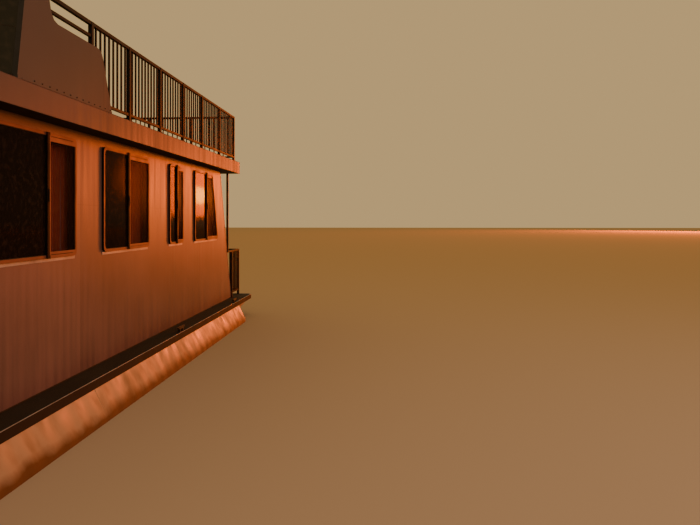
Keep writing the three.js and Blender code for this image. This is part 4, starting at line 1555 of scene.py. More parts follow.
@dataclass
class SlidingDoor(SubAssembly):
    """A sliding door on a raked end wall: frame, glass seal, cross rail, handle and lock."""

    end: str
    rake: Rake
    half: float = 0.44
    sill: float = 0.865
    head: float = 2.890
    rim: float = 0.060
    outer: float = 0.045
    handle_height: Point = (1.66, 2.02)
    handle_out: float = 0.055
    grip: float = 0.012
    lock_drop: float = 0.14
    # Its foot over the sill, and its height
    cross_rail: Point = (0.62, 0.05)

    def build(self) -> None:
        """Models the door's pieces, which all slide with it."""
        body = f"{self.end}_door"
        node = f"{self.end}_door_frame"
        leaf = eased(from_node(node, f"{node}_section"), 0.003)
        self.dress(leaf, FRAME_ALLOY, "window_frame", body, [node])
        self.refinish(f"{body}_pane", WINDOW_GLASS)
        self.seal(body)
        self.handle(body)
        self.kick_rail(body)

    def seal(self, body: str) -> None:
        """Models the rubber seal round the door's glass.

        Args:
            body: The body that slides.
        """
        edge = self.rim - 0.002
        across, up = (edge - self.half, self.half - edge), (self.sill + edge, self.head - edge)
        corners = self.rake.corners(across, up, self.outer - 0.016)
        out = math.copysign(0.006, self.rake.foot)
        seal = add_ring(f"{body}_seal", corners, 0.010, (out, 0, 0))
        self.dress(eased(seal, 0.002), BLACK_RUBBER_AND_PAINTED_SHADE, "window_frame", body)

    def handle(self, body: str) -> None:
        """Models the door's bent bar handle on its two plates, and the lock below.

        Args:
            body: The body that slides.
        """
        y = -self.half + self.rim / 2
        out = self.rake.outward
        low, high = (
            Vector((self.rake.x(z) + math.copysign(self.outer, self.rake.foot), y, z))
            for z in self.handle_height
        )
        reach = out * self.handle_out
        bar = add_tube("bar", [low, low + reach, high + reach, high], self.grip, bend=0.028)
        plates = [bolt_head("plate", at, 0.024, 0.006, out) for at in (low, high)]
        whole = joined(f"{body}_handle", [bar, *plates])
        self.dress(eased(whole, 0.0), STAINLESS, "ladder_tube", body)
        at = low - (high - low).normalized() * self.lock_drop
        barrel = add_rod("barrel", at - out * 0.002, at + out * 0.012, 0.019, 28)
        keyway = add_rod("keyway", at + out * 0.008, at + out * 0.0135, 0.009, 20)
        pair = [dished(barrel, out, (0.006, 0.003)), dished(keyway, out, (0.006, 0.002))]
        lock = joined(f"{body}_lock", pair)
        self.dress(eased(lock, 0.0008), STAINLESS, "ladder_tube", body)

    def kick_rail(self, body: str) -> None:
        """Models the cross rail a third of the way up the door's glass.

        Args:
            body: The body that slides.
        """
        rise, height = self.cross_rail
        z, reach = self.sill + rise, self.half - self.rim + 0.004
        corners = self.rake.corners((-reach, reach), (z, z + height), self.outer - 0.014)
        rail = add_prism(f"{body}_cross_rail", corners, (math.copysign(0.012, self.rake.foot), 0, 0))
        self.dress(eased(rail, 0.003), FRAME_ALLOY, "window_frame", body)


@dataclass
class Curtains(SubAssembly):
    """Gathered curtains on a ceiling track behind each side's windows."""

    # fore edge, aft edge of each drape
    spans: Sequence[Point] = (
        (2.240, 1.800),
        (0.575, 0.110),
        (-1.010, -1.600),
        (-2.300, -2.870),
        (-3.900, -4.400),
    )
    track_level: float = 3.062
    hem: float = 1.905
    back: float = 0.098
    fold: float = 0.066
    depth: float = 0.0135
    thickness: float = 0.0012
    columns: int = 14
    rows: int = 26

    def build(self) -> None:
        """Models both sides' tracks and drapes."""
        for side in Side:
            self.track(side)
            for number, (fore, aft) in enumerate(self.spans, 1):
                self.drape(side, number, fore, aft)

    def track(self, side: Side) -> None:
        """Models the aluminium track: a channel with a slot along its underside.

        Args:
            side: Which side of the boat it is on.
        """
        low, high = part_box(f"curtains_{side.word}")
        name = f"curtain_track_{side.word}"
        bar = add_block(name, (low.x, low.y, self.track_level), high)
        bar = eased(dished(bar, DOWNWARD, (0.012, 0.006)), 0.001)
        self.dress(bar, EDGE_ALLOY, "curtain_cloth", stands_for=[f"curtains_{side.word}"])

    def drape(self, side: Side, number: int, fore: float, aft: float) -> None:
        """Models one drape: even pleats at the tape, looser and wandering folds at the hem.

        Args:
            side: Which side of the boat it hangs on.
            number: Its number from the bow.
            fore: Its fore edge.
            aft: Its aft edge.
        """
        name = f"curtain_{side.word}_{number}"
        width, drop = fore - aft, self.track_level - self.hem - 0.012
        pleats = round(width / self.fold)
        columns = pleats * self.columns
        bpy.ops.object.select_all(action="DESELECT")
        bpy.ops.mesh.primitive_grid_add(
            x_subdivisions=columns,
            y_subdivisions=self.rows,
            size=1,
            location=((fore + aft) / 2, 0, self.hem + drop / 2),
            rotation=(math.pi / 2, 0, 0),
            scale=(width, drop, 1),
        )
        cloth = settle(name)
        middle = (CABIN_Y - self.back) * side.value
        for vertex in cloth.data.vertices:
            share = (vertex.co.x - aft) / width
            fall = 1 - (vertex.co.z - self.hem) / drop
            turn = share * pleats * 2 * math.pi
            wander = fall * (0.9 * math.sin(share * 9.1 + number) + 0.5 * math.sin(share * 23.0))
            swell = self.depth * (0.72 + 0.28 * fall * math.sin(share * 14.3 + number * 1.7))
            vertex.co.y = middle + swell * math.sin(turn + wander)
            vertex.co.x += 0.006 * fall * math.sin(turn * 0.5 + number)
        flat = self.flat_width(cloth, columns)
        for corner in cloth.data.uv_layers.active.data:
            corner.uv = (corner.uv[0] * flat, corner.uv[1] * drop)
        applied(cloth, "SOLIDIFY", thickness=self.thickness, offset=0.0)
        select_only(cloth)
        bpy.ops.object.shade_smooth()
        self.dress(cloth, CURTAIN_CLOTH, "curtain_cloth", stands_for=[f"curtains_{side.word}"])
        LOG.info("%s: cut %.3f m wide and %.3f m long", name, flat, drop)

    def flat_width(self, cloth: Piece, columns: int) -> float:
        """Measures the cloth along each row of the grid, and gives the mean.

        Args:
            cloth: The pleated grid, before it has thickness.
            columns: How many columns the grid has.

        Returns:
            The width that the cloth was cut to.
        """
        points = [vertex.co for vertex in cloth.data.vertices]
        rows = [points[i : i + columns + 1] for i in range(0, len(points), columns + 1)]
        return sum((b - a).length for row in rows for a, b in zip(row, row[1:])) / len(rows)


@dataclass
class Roof(SubAssembly):
    """The roof: grit-painted upper deck, streaked fascia, soffit, drip trim and lamps."""

    edge: float = 0.004
    drip: float = 0.012
    chamfer: float = 0.180
    coaming: float = 0.030
    # middle x, middle y of the soffit lamps
    lamps: Sequence[Point] = ((4.15, 0.0), (4.75, 1.2), (4.75, -1.2), (-5.02, 0.6))
    lamp_radius: float = 0.075

    def build(self) -> None:
        """Models the roof's pieces."""
        self.slab()
        self.trims()
        for number, (x, y) in enumerate(self.lamps, 1):
            self.soffit_lamp(number, x, y)
        self.side_lights()

    def slab(self) -> None:
        """Models the roof from the frame's solid, in three finishes."""
        slab = eased(from_node("roof", "roof_slab"), self.edge)

        def choice(middle: Vector, normal: Vector) -> int:
            """Parts the upper deck and the soffit from the fascia."""
            return 1 if normal.z > 0.7 else 2 if normal.z < -0.7 else 0

        # The soffit's near-black enamel is painted shade
        self.reface(slab, [FASCIA_PAINT, UPPER_GRIT, SOFFIT_PAINTED_SHADE], choice)
        self.dress(slab, FASCIA_PAINT, "roof_fascia", stands_for=["roof"])

    def trims(self) -> None:
        """Models the drip angle under the fascia's foot and the edge strip along its top."""
        low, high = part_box("roof")
        for name, z, height, width in (
            ("roof_drip_angle", low.z - 0.003, 0.006, self.drip),
            ("roof_edge_strip", high.z - 0.001, 0.003, self.coaming),
        ):
            corners = [
                (low.x, high.y, z),
                (high.x - self.chamfer, high.y, z),
                (high.x, high.y - self.chamfer, z),
                (high.x, low.y + self.chamfer, z),
                (high.x - self.chamfer, low.y, z),
                (low.x, low.y, z),
            ]
            trim = add_ring(name, corners, width, (0, 0, height))
            self.dress(eased(trim, 0.001), FASCIA_PAINT, "roof_fascia")

    def soffit_lamp(self, number: int, x: float, y: float) -> None:
        """Models a round dome lamp under the roof: a trim ring and a frosted lens.

        Args:
            number: The lamp's number.
            x: Its middle, fore and aft.
            y: Its middle, athwart.
        """
        z, radius = SOFFIT, self.lamp_radius
        ring = add_rod(f"soffit_lamp_ring_{number}", (x, y, z + 0.002), (x, y, z - 0.016), radius, 40)
        ring = eased(dished(ring, DOWNWARD, (0.014, 0.004)), 0.003)
        self.dress(ring, STAINLESS, "ladder_tube")
        name = f"soffit_lamp_lens_{number}"
        lens = add_rod(name, (x, y, z - 0.010), (x, y, z - 0.022), radius - 0.017, 36)
        lens = eased(dished(lens, DOWNWARD, (0.016, -0.010), (0.014, -0.005)), 0.004, 3)
        self.dress(lens, CLEAR_LENS, "ladder_tube")

    def side_lights(self) -> None:
        """Models the red and green side lights on the fore fascia, and the white one aft."""
        low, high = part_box("roof")
        z = (low.z + high.z) / 2
        cut = self.chamfer / 2
        spots = (
            ("side_light_port", (high.x - cut, high.y - cut), (1, 1, 0), RED_LENS),
            ("side_light_starboard", (high.x - cut, low.y + cut), (1, -1, 0), GREEN_LENS),
            ("stern_light", (low.x, 0.4), (-1, 0, 0), CLEAR_LENS),
        )
        for name, (x, y), facing, lens_finish in spots:
            out = Vector(facing).normalized()
            reach = 0.055 if name != "stern_light" else 0.045
            at = Vector((x, y, z))
            across = Vector((-out.y, out.x, 0)) * 0.055
            rise = Vector((0, 0, 0.04))
            corners = [at - across - rise, at + across - rise, at + across + rise, at - across + rise]
            case = eased(add_prism(f"{name}_case", corners, out * reach * 0.5), 0.006, 3)
            self.dress(case, BLACK_RUBBER_AND_PAINTED_SHADE, "black_rail")
            inner = [at + (corner - at) * 0.78 + out * reach * 0.4 for corner in corners]
            lens = eased(add_prism(f"{name}_lens", inner, out * reach * 0.55), 0.016, 4)
            self.dress(lens, lens_finish, "ladder_tube")


@dataclass
class Railings(SubAssembly):
    """The black railings and gates, with foot flanges, bolts, post caps and gate latches."""

    edge: float = 0.0025
    upper_y: float = 1.943
    upper_posts: Sequence[float] = (1.120, 0.173, -0.638, -1.499, -2.311, -3.125, -4.051, -4.967)
    aft_posts: Sequence[float] = (-1.050, -0.319, 0.412, 1.180)
    side_posts: Sequence[float] = (3.880, 4.320, 4.950, 5.740)
    front_posts: Sequence[float] = (1.733, 1.080, 0.430)
    bow_x: float = 5.950
    stern_x: float = -6.070
    flange: float = 0.036
    flange_height: float = 0.006
    bolt: float = 0.0055
    bolt_inset: float = 0.009
    knob: float = 0.008

    def build(self) -> None:
        """Models every railing and gate, their feet and the latches."""
        for side in Side:
            for work in ("upper_rail", "bow_rail", "stern_rail"):
                self.section(f"{work}_{side.word}", "boat")
        self.section("upper_rail_aft", "boat")
        for gate in ("bow_gate", "stern_gate", "roof_gate"):
            self.section(gate, gate)
        self.feet()
        self.latches()

    def section(self, node: str, body: str) -> None:
        """Models one railing or gate from the frame's solid, with its edges eased."""
        work = eased(from_node(node, f"{node}_coated"), self.edge)
        self.dress(work, RAIL_COAT, "black_rail", body, [node])

    def feet(self) -> None:
        """Models a bolted flange at the foot of each post, joined deck by deck."""
        upper = [(x, self.upper_y) for x in self.upper_posts[1:]]
        aft = [(self.upper_posts[-1], y) for y in self.aft_posts]
        side = [(x, self.upper_y) for x in self.side_posts]
        front = [(self.bow_x, y) for y in self.front_posts]
        stern = [(-5.560, CABIN_Y), (self.stern_x + 0.018, CABIN_Y - 0.018)]
        groups = (
            ("upper_rail_feet", UPPER_DECK, upper, True),
            ("upper_rail_aft_feet", UPPER_DECK, aft, False),
            ("bow_rail_feet", DECK_TOP, side + front, True),
            ("stern_rail_feet", DECK_TOP, stern, True),
        )
        for name, level, places, twin in groups:
            pieces = [self.foot(x, y, level) for x, y in places]
            whole = joined(name + ("_{side}" if twin else ""), pieces)
            if twin:
                self.both_sides(whole, RAIL_COAT, "black_rail")
            else:
                self.dress(whole, RAIL_COAT, "black_rail")

    def foot(self, x: float, y: float, level: float) -> Piece:
        """Makes one foot flange with its four bolts.

        Args:
            x: The post's middle, fore and aft.
            y: The post's middle, athwart.
            level: The deck that it stands on.

        Returns:
            The flange and bolts as one mesh.
        """
        half, z = self.flange, level + 0.0008
        # The deck's edge is close outboard of the post, so the flange is narrow that way
        outboard = min(half, 0.026)
        top = z + self.flange_height
        plate = add_block("plate", (x - half, y - half, z), (x + half, y + outboard, top))
        bolts = [
            bolt_head("bolt", (x + dx, y + dy, top), self.bolt, 0.0045, UPWARD)
            for dx in (self.bolt_inset - half, half - self.bolt_inset)
            for dy in (self.bolt_inset - half, outboard - 0.0075)
        ]
        return joined("foot", [eased(plate, 0.0015), *bolts])

    def latches(self) -> None:
        """Models each gate's slide latch: a keeper on the gate's free stile with its bolt."""
        gates = (
            ("bow_gate", self.bow_x, -0.36, DECK_TOP + 0.62),
            ("stern_gate", self.stern_x, -0.19, DECK_TOP + 0.62),
            ("roof_gate", self.upper_posts[-1], -1.585, UPPER_DECK + 0.50),
        )
        for gate, x, y, z in gates:
            out = math.copysign(0.017, x)
            at = Vector((x + out, y, z))
            case = add_block("case", at - Vector((0.005, 0.026, 0.03)), at + Vector((0.007, 0.03, 0.03)))
            knob = add_rod("knob", at, (x + out * 1.55, y, z), self.knob, 20)
            for facing in (BOWWARD, AFTWARD):
                dished(case, facing, (0.008, 0.002))
                dished(knob, facing, (0.002, -0.003))
            whole = joined(f"{gate}_latch", [case, knob])
            self.dress(eased(whole, 0.0015), STAINLESS, "ladder_tube", gate)


@dataclass
class Wings(SubAssembly):
    """The painted side panels beside the upper deck, with hems and a row of screws."""

    edge: float = 0.0015
    screw_pitch: float = 0.105
    screw_radius: float = 0.0065
    screw_rise: float = 0.024
    first: float = -0.150
    last: float = 1.150

    def build(self) -> None:
        """Models both panels and their screws."""
        for side in Side:
            node = f"wing_{side.word}"
            panel = eased(from_node(node, f"{node}_sheet"), self.edge)
            # Faces that look towards the bow take the black rubber finish as painted shade
            self.reface(panel, [WING_PAINT, BLACK_RUBBER_AND_PAINTED_SHADE], lambda middle, normal: normal.x > 0.7)
            self.dress(panel, WING_PAINT, "wing_panel", stands_for=[node])
        low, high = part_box("wing_port")
        count = int((self.last - self.first) / self.screw_pitch) + 1
        at = (self.first, high.y - 0.0004, low.z + self.screw_rise)
        screws = bolt_head("wing_screws_{side}", at, self.screw_radius, 0.0032, PORTWARD)
        screws = arrayed(screws, count, (self.screw_pitch, 0, 0))
        self.both_sides(eased(screws, 0.0), DARK_SCREW, "black_rail")
        self.foot_strip(low, high)

    def foot_strip(self, low: Vector, high: Vector) -> None:
        """Models the flat strip that clamps the panel's foot to the fascia's top.

        Args:
            low: The port panel's lowest corner.
            high: Its highest corner.
        """
        strip = add_block(
            "wing_foot_strip_{side}",
            (low.x + 0.004, high.y, low.z + 0.002),
            (high.x - 0.060, high.y + 0.0022, low.z + 0.016),
        )
        self.both_sides(eased(strip, 0.0008), WING_PAINT, "wing_panel")


@dataclass
class Windscreen(SubAssembly):
    """The smoked windscreen, nearly black partly as painted shade, its dark joint strip, sill, cap rail
    and end channels.
    """

    corner: Point = (2.017, 0.900)
    side_end: Point = (1.322, 1.973)
    thick: float = 0.020
    height: float = 1.090
    lean: float = math.tan(math.radians(8.5))
    joint_rise: float = 0.384
    joint: float = 0.004
    cap: float = 0.022
    panel_edge: float = 1.3306
    channel: float = 0.024

    def build(self) -> None:
        """Models the screen and its trims."""
        screen = eased(from_node("windscreen", "windscreen_acrylic"), 0.002)
        # The screen's near-black tone is partly painted shade
        self.dress(screen, SCREEN_ACRYLIC, "tinted_glass", stands_for=["windscreen"])
        self.strip("windscreen_joint", self.joint_rise, self.joint, 0.0018, DARK_SCREW)
        self.strip("windscreen_sill", 0.002, 0.024, 0.0040, RAIL_COAT)
        self.strip("windscreen_cap", self.height - self.cap, self.cap, 0.0040, RAIL_COAT)
        self.end_channel()

    def plan(self, out: float, rise: float) -> list[Point]:
        """Gives the screen's outer line in plan, a distance outside it, at a height over the deck.

        Args:
            out: How far outside the screen's face it lies.
            rise: Its height over the upper deck.

        Returns:
            The line's four points.
        """
        (cx, cy), (sx, sy) = self.corner, self.side_end
        slip = self.lean * rise
        along = Vector((cx - sx, cy - sy)).normalized()
        side_out = Vector((-along.y, along.x)) * out
        bend = out * math.tan(math.atan2(sy - cy, cx - sx) / 2)
        half = [
            (sx + side_out.x - slip, sy + side_out.y),
            (cx + out - slip, cy + bend),
        ]
        z = UPPER_DECK + rise
        return [(x, y, z) for x, y in half] + [(x, -y, z) for x, y in reversed(half)]

    def strip(self, name: str, rise: float, height: float, proud: float, finish: Finish) -> None:
        """Models a thin strip that runs along the screen's face.

        Args:
            name: The strip's name.
            rise: Its foot's height over the upper deck.
            height: Its height up the screen.
            proud: How far it stands out from the screen.
            finish: What it is made of.
        """
        outer, inner = self.plan(proud, rise), self.plan(-0.001, rise)
        band = add_sheet(name, [*outer, *reversed(inner)])
        run = (-self.lean * height, 0, height)
        self.dress(eased(drawn_out(band, run), 0.0008), finish, "black_rail")

    def end_channel(self) -> None:
        """Models the black channel that the screen's end sits in, beside the side panel."""
        (cx, cy), (sx, sy) = self.corner, self.side_end
        along = Vector((cx - sx, cy - sy)).normalized()
        out = Vector((-along.y, along.x))
        x, deep = self.panel_edge, self.thick + 0.004
        face = Vector((sx, sy)) + along * ((x - sx) / along.x)
        back = face - out * deep + along * (deep * out.x / along.x)
        lip = face + out * 0.003 + along * self.channel
        z = UPPER_DECK + 0.001
        corners = [face + Vector((0, 0.010)), lip, lip - out * (deep + 0.003), back]
        channel = add_prism(
            "windscreen_end_channel_{side}",
            [(px, py, z) for px, py in corners],
            (-self.lean * (self.height - 0.001), 0, self.height - 0.001),
        )
        self.both_sides(eased(channel, 0.001), BLACK_RUBBER_AND_PAINTED_SHADE, "black_rail")


@dataclass
class Helm(SubAssembly):
    """The upper helm: console with gauges, throttle and compass, the wheel, and the bench."""

    edge: float = 0.018
    aft: float = 1.450
    dash: float = 0.700
    brow: float = 0.960
    dash_run: float = 0.110
    bench_aft: float = 0.360
    # The rim's rubber starts this far from the wheel's hub
    grip: float = 0.17
    switches: int = 6
    switch_pitch: float = 0.045
    compass_radius: float = 0.052
    dome_radius: float = 0.041
    # place athwart, radius
    gauges: Sequence[Point] = ((-0.30, 0.042), (-0.195, 0.034), (0.215, 0.034), (0.31, 0.042))

    def build(self) -> None:
        """Models the helm's pieces."""
        for node in ("helm_console", "helm_bench"):
            shell = eased(from_node(node, f"{node}_moulding"), self.edge, 4)
            self.dress(shell, HELM_GEL, "console_shell", stands_for=[node])
        self.wheel()
        self.instruments()
        self.throttle()
        self.compass()
        self.console_door()
        self.bench_vents()

    @property
    def tilt(self) -> float:
        """The dash's lean from upright."""
        return math.atan2(self.dash_run, self.brow - self.dash)

    def on_dash(self, share: float, y: float) -> Vector:
        """Gives a point on the dash, from 0 at its foot to 1 at its brow."""
        z = UPPER_DECK + self.dash + (self.brow - self.dash) * share
        return Vector((self.aft + self.dash_run * share, y, z))

    @property
    def dash_out(self) -> Vector:
        """The dash's outward direction."""
        return Vector((-math.cos(self.tilt), 0, math.sin(self.tilt)))

    def wheel(self) -> None:
        """Models the wheel from the frame's solid, its rim wrapped in rubber."""
        wheel = eased(from_node("helm_wheel", "helm_wheel_rim_and_spokes"), 0.002)
        applied(wheel, "SUBSURF", levels=1, render_levels=1)
        low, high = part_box("helm_wheel")
        hub = Vector(((low.x + high.x) / 2, 0, (low.z + high.z) / 2))

        def choice(middle: Vector, normal: Vector) -> int:
            """Parts the spokes and the hub from the rim."""
            away = middle - hub
            return int((away - self.dash_out * away.dot(self.dash_out)).length < self.grip)

        self.reface(wheel, [BLACK_RUBBER_AND_PAINTED_SHADE, STAINLESS], choice)
        self.dress(wheel, BLACK_RUBBER_AND_PAINTED_SHADE, "wheel_rim", "helm_wheel", ["helm_wheel"])

    def instruments(self) -> None:
        """Models the gauges, a bezel and a printed face for each, and the bank of rocker switches."""
        out = self.dash_out
        for number, (y, radius) in enumerate(self.gauges, 1):
            at = self.on_dash(0.62, y)
            bezel = add_rod(f"gauge_bezel_{number}", at - out * 0.002, at + out * 0.010, radius, 40)
            bezel = eased(dished(bezel, out, (0.006, 0.004)), 0.0015)
            self.dress(bezel, STAINLESS, "wheel_rim")
            inner = radius - 0.0065
            face = add_rod(f"gauge_face_{number}", at + out * 0.004, at + out * 0.0072, inner, 40)
            self.centre_map(face, at, out, inner)
            self.dress(face, GAUGE_FACE, "wheel_rim")
        switches = []
        for i in range(self.switches):
            at = self.on_dash(0.18, -0.34 + i * self.switch_pitch)
            rocker = add_prism("rocker", self.tile(at, 0.015, 0.026), out * 0.006)
            switches.append(dished(rocker, out, (0.003, -0.004)))
        bank = joined("switch_bank", switches)
        self.dress(eased(bank, 0.0012), BLACK_RUBBER_AND_PAINTED_SHADE, "wheel_rim")

    def tile(self, at: Vector, half: float, rise: float) -> list[Vector]:
        """Gives the corners of a tile that lies on the dash.

        Args:
            at: The tile's middle.
            half: Half its width.
            rise: Its height.

        Returns:
            The four corners.
        """
        across = Vector((0, half, 0))
        up = Vector((math.sin(self.tilt), 0, math.cos(self.tilt))) * rise / 2
        return [at - across - up, at + across - up, at + across + up, at - across + up]

    def centre_map(self, face: Piece, at: Vector, out: Vector, radius: float) -> None:
        """Lays a dial's UV map flat over its face, with the middle at one half.

        Args:
            face: The dial.
            at: Its middle.
            out: Its outward direction.
            radius: Its radius.
        """
        across = Vector((0, 1, 0))
        up = out.cross(across)
        uv = face.data.uv_layers.active or face.data.uv_layers.new(name="UVMap")
        uv.name = "UVMap"
        for loop, corner in zip(face.data.loops, uv.data):
            away = face.data.vertices[loop.vertex_index].co - at
            corner.uv = (0.5 + away.dot(across) / (2 * radius), 0.5 + away.dot(up) / (2 * radius))

    def throttle(self) -> None:
        """Models the throttle: a box on the console's side shelf with a bent lever and knob."""
        base = self.on_dash(0.30, 0.31)
        out = self.dash_out
        plate = add_prism("plate", self.tile(base, 0.035, 0.10), out * 0.022)
        tip = base + out * 0.13 + Vector((0, 0, 0.06))
        stem = add_tube("stem", [base + out * 0.015, base + out * 0.07, tip], 0.007, 0.02)
        knob = add_rod("knob", tip - Vector((0, 0.025, 0)), tip + Vector((0, 0.025, 0)), 0.016, 24)
        whole = joined("throttle", [eased(plate, 0.006, 3), stem, eased(knob, 0.008, 4)])
        self.dress(eased(whole, 0.0), BLACK_RUBBER_AND_PAINTED_SHADE, "wheel_rim")

    def compass(self) -> None:
        """Models the compass on top of the console: a collar and a clear dome."""
        x, z = self.aft + 0.235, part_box("helm_console")[1].z
        foot, head = (x, 0, z - 0.001), (x, 0, z + 0.018)
        collar = add_rod("compass_collar", foot, head, self.compass_radius, 40)
        collar = eased(dished(collar, UPWARD, (0.010, 0.004)), 0.003)
        self.dress(collar, BLACK_RUBBER_AND_PAINTED_SHADE, "wheel_rim")
        bpy.ops.object.select_all(action="DESELECT")
        ball = {"segments": 32, "ring_count": 16, "radius": self.dome_radius}
        bpy.ops.mesh.primitive_uv_sphere_add(location=(x, 0, z + 0.012), **ball)
        dome = parted(settle("compass_dome"), (x, 0, z + 0.008), UPWARD, use_fill=True, clear_inner=True)
        self.dress(eased(dome, 0.0), CLEAR_LENS, "wheel_rim")

    def console_door(self) -> None:
        """Models the locker door in the console's aft face, with its frame and a finger pull."""
        x, base = self.aft, UPPER_DECK
        corners = rectangle((x, -0.26, base + 0.08), (x, 0.26, base + 0.60))
        rim = add_ring("console_door_frame", corners, 0.022, (-0.008, 0, 0), radius=0.03)
        self.dress(eased(rim, 0.002), HELM_GEL, "console_shell")
        inner = rectangle((x, -0.234, base + 0.106), (x, 0.234, base + 0.574))
        door = eased(add_prism("console_door", inner, (-0.006, 0, 0), radius=0.02), 0.002)
        self.dress(door, HELM_GEL, "console_shell")
        foot = (x - 0.016, 0.15, base + 0.32)
        pull = add_block("console_door_pull", foot, (x - 0.006, 0.19, base + 0.38))
        pull = eased(dished(pull, AFTWARD, (0.007, 0.005)), 0.0015)
        self.dress(pull, STAINLESS, "wheel_rim")

    def bench_vents(self) -> None:
        """Models the louvred vents in the bench's aft side."""
        x, base = self.bench_aft, UPPER_DECK
        for number, y in enumerate((-0.35, 0.35), 1):
            corners = rectangle((x, y - 0.16, base + 0.12), (x, y + 0.16, base + 0.27))
            rim = add_ring("rim", corners, 0.014, (-0.006, 0, 0), radius=0.01)
            section = ((0.001, 0.138), (0.009, 0.134), (0.010, 0.137), (0.001, 0.148))
            corners = [(x - out, y - 0.145, base + rise) for out, rise in section]
            slats = arrayed(add_prism("louvre", corners, (0, 0.29, 0)), 6, (0, 0, 0.021))
            whole = joined(f"bench_vent_{number}", [eased(rim, 0.001), slats])
            self.dress(eased(whole, 0.0), HELM_GEL, "console_shell")


@dataclass
class Cushions(SubAssembly):
    """The helm bench's seat and back cushions: filled vinyl, with piping along the seams."""

    voxel: float = 0.011
    start_share: float = 0.965
    round: float = 0.018
    pressure: float = 4.0
    stiffness: float = 40.0
    frames: int = 16
    cap: float = 0.020
    piping: float = 0.0055
    channels: int = 3

    def build(self) -> None:
        """Models both cushions and their piping."""
        self.cushion("seat_cushion", Vector((0, 0, 1)))
        self.cushion("back_cushion", Vector((1, 0, 0)))

    def cushion(self, node: str, front: Vector) -> None:
        """Models one cushion: the solid, rounded, filled by simulation between its seams.

        Args:
            node: The frame node that it replaces.
            front: The direction that its sat-on face looks.
        """
        low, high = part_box(node)
        middle = (low + high) / 2
        half = (high - low) / 2 * self.start_share
        pad = eased(add_block(f"{node}_vinyl", middle - half, middle + half), self.round, 3)
        applied(pad, "REMESH", mode="VOXEL", voxel_size=self.voxel)
        seams = [-half.y + 2 * half.y * i / self.channels for i in range(1, self.channels)]
        self.fill(pad, middle, half, front, seams)
        for vertex in pad.data.vertices:
            away = vertex.co - middle
            near = min(abs(away.y - seam) for seam in seams)
            if away.dot(front) > 0:
                vertex.co -= front * 0.012 * math.exp(-((near / 0.014) ** 2))
        applied(pad, "SMOOTH", factor=0.5, iterations=3)
        applied(pad, "SUBSURF", levels=1, render_levels=1)
        select_only(pad)
        bpy.ops.object.shade_smooth()
        for vertex in pad.data.vertices:
            vertex.co.z = max(vertex.co.z, low.z)
        self.dress(pad, SEAT_VINYL, "seat_vinyl", stands_for=[node])
        self.welt(node, middle, half, front)

    def fill(
        self, pad: Piece, middle: Vector, half: Vector, front: Vector, seams: Sequence[float]
    ) -> None:
        """Swells the cushion with cloth pressure; seams stay and other points keep to the cap.

        Args:
            pad: The cushion.
            middle: Its middle.
            half: Half its size.
            front: The direction that its sat-on face looks.
            seams: The places of its cross seams, from the middle.
        """
        rest = [vertex.co.copy() for vertex in pad.data.vertices]
        held = pad.vertex_groups.new(name="seams")
        for vertex in pad.data.vertices:
            away = vertex.co - middle
            edges = sum(half[i] - abs(away[i]) < self.round * 0.6 for i in range(3))
            sewn = away.dot(front) > 0 and min(abs(away.y - seam) for seam in seams) < 0.008
            if edges > 1 or sewn:
                held.add([vertex.index], 1.0, "REPLACE")
        cloth = pad.modifiers.new("CLOTH", "CLOTH")
        cloth.settings.vertex_group_mass = held.name
        cloth.settings.use_pressure = True
        cloth.settings.uniform_pressure_force = self.pressure
        cloth.settings.tension_stiffness = self.stiffness
        cloth.settings.compression_stiffness = self.stiffness
        cloth.settings.effector_weights.gravity = 0
        cloth.point_cache.frame_start, cloth.point_cache.frame_end = 1, self.frames
        scene = bpy.context.scene
        for number in range(1, self.frames + 1):
            scene.frame_set(number)
        select_only(pad)
        bpy.ops.object.modifier_apply(modifier=cloth.name)
        scene.frame_set(1)
        pad.vertex_groups.clear()
        for vertex, start in zip(pad.data.vertices, rest):
            move = vertex.co - start
            if move.length > self.cap:
                vertex.co = start + move * (self.cap / move.length)

    def welt(self, node: str, middle: Vector, half: Vector, front: Vector) -> None:
        """Models the piping sewn along the seam round the front face.

        Args:
            node: The cushion's node.
            middle: Its middle.
            half: Half its size.
            front: The direction that its sat-on face looks.
        """
        across = Vector((0, 1, 0))
        up = front.cross(across)
        inset = self.round * 0.3
        wide = half.y - inset
        tall = abs(half.dot(up)) - inset
        depth = half.dot(front) - inset
        face = middle + front * depth
        ways = ((-1, -1), (1, -1), (1, 1), (-1, 1))
        corners = [face + across * wide * a + up * tall * b for a, b in ways]
        welt = add_tube(f"{node}_piping", corners, self.piping, self.round, closed=True)
        self.dress(eased(welt, 0.0), PIPING_VINYL, "seat_vinyl")


@dataclass
class Ladder(SubAssembly):
    """The ladder from the stern deck to the upper deck, with ribbed treads."""

    edge: float = 0.003
    rib: float = 0.0022
    treads: int = 8
    foot_x: float = -5.840

    def build(self) -> None:
        """Models the ladder from the frame's solid, and its tread strips."""
        ladder = eased(from_node("stern_ladder", "stern_ladder_alloy"), self.edge)
        self.dress(ladder, LADDER_ALLOY, "ladder_tube", stands_for=["stern_ladder"])
        low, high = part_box("stern_ladder")
        lean = AFT_RAKE.lean
        rise = (UPPER_DECK - DECK_TOP) / (self.treads + 1)
        strips = []
        for step in range(1, self.treads + 1):
            z = DECK_TOP + rise * step
            x = self.foot_x + lean * (z - DECK_TOP)
            foot = (x - 0.036, low.y + 0.034, z - 0.0005)
            rib = add_block("rib", foot, (x - 0.030, high.y - 0.034, z + self.rib))
            strips.append(arrayed(rib, 6, (0.011, 0, 0)))
        self.dress(eased(joined("ladder_tread_ribs", strips), 0.0006), BLACK_RUBBER_AND_PAINTED_SHADE, "ladder_tube")


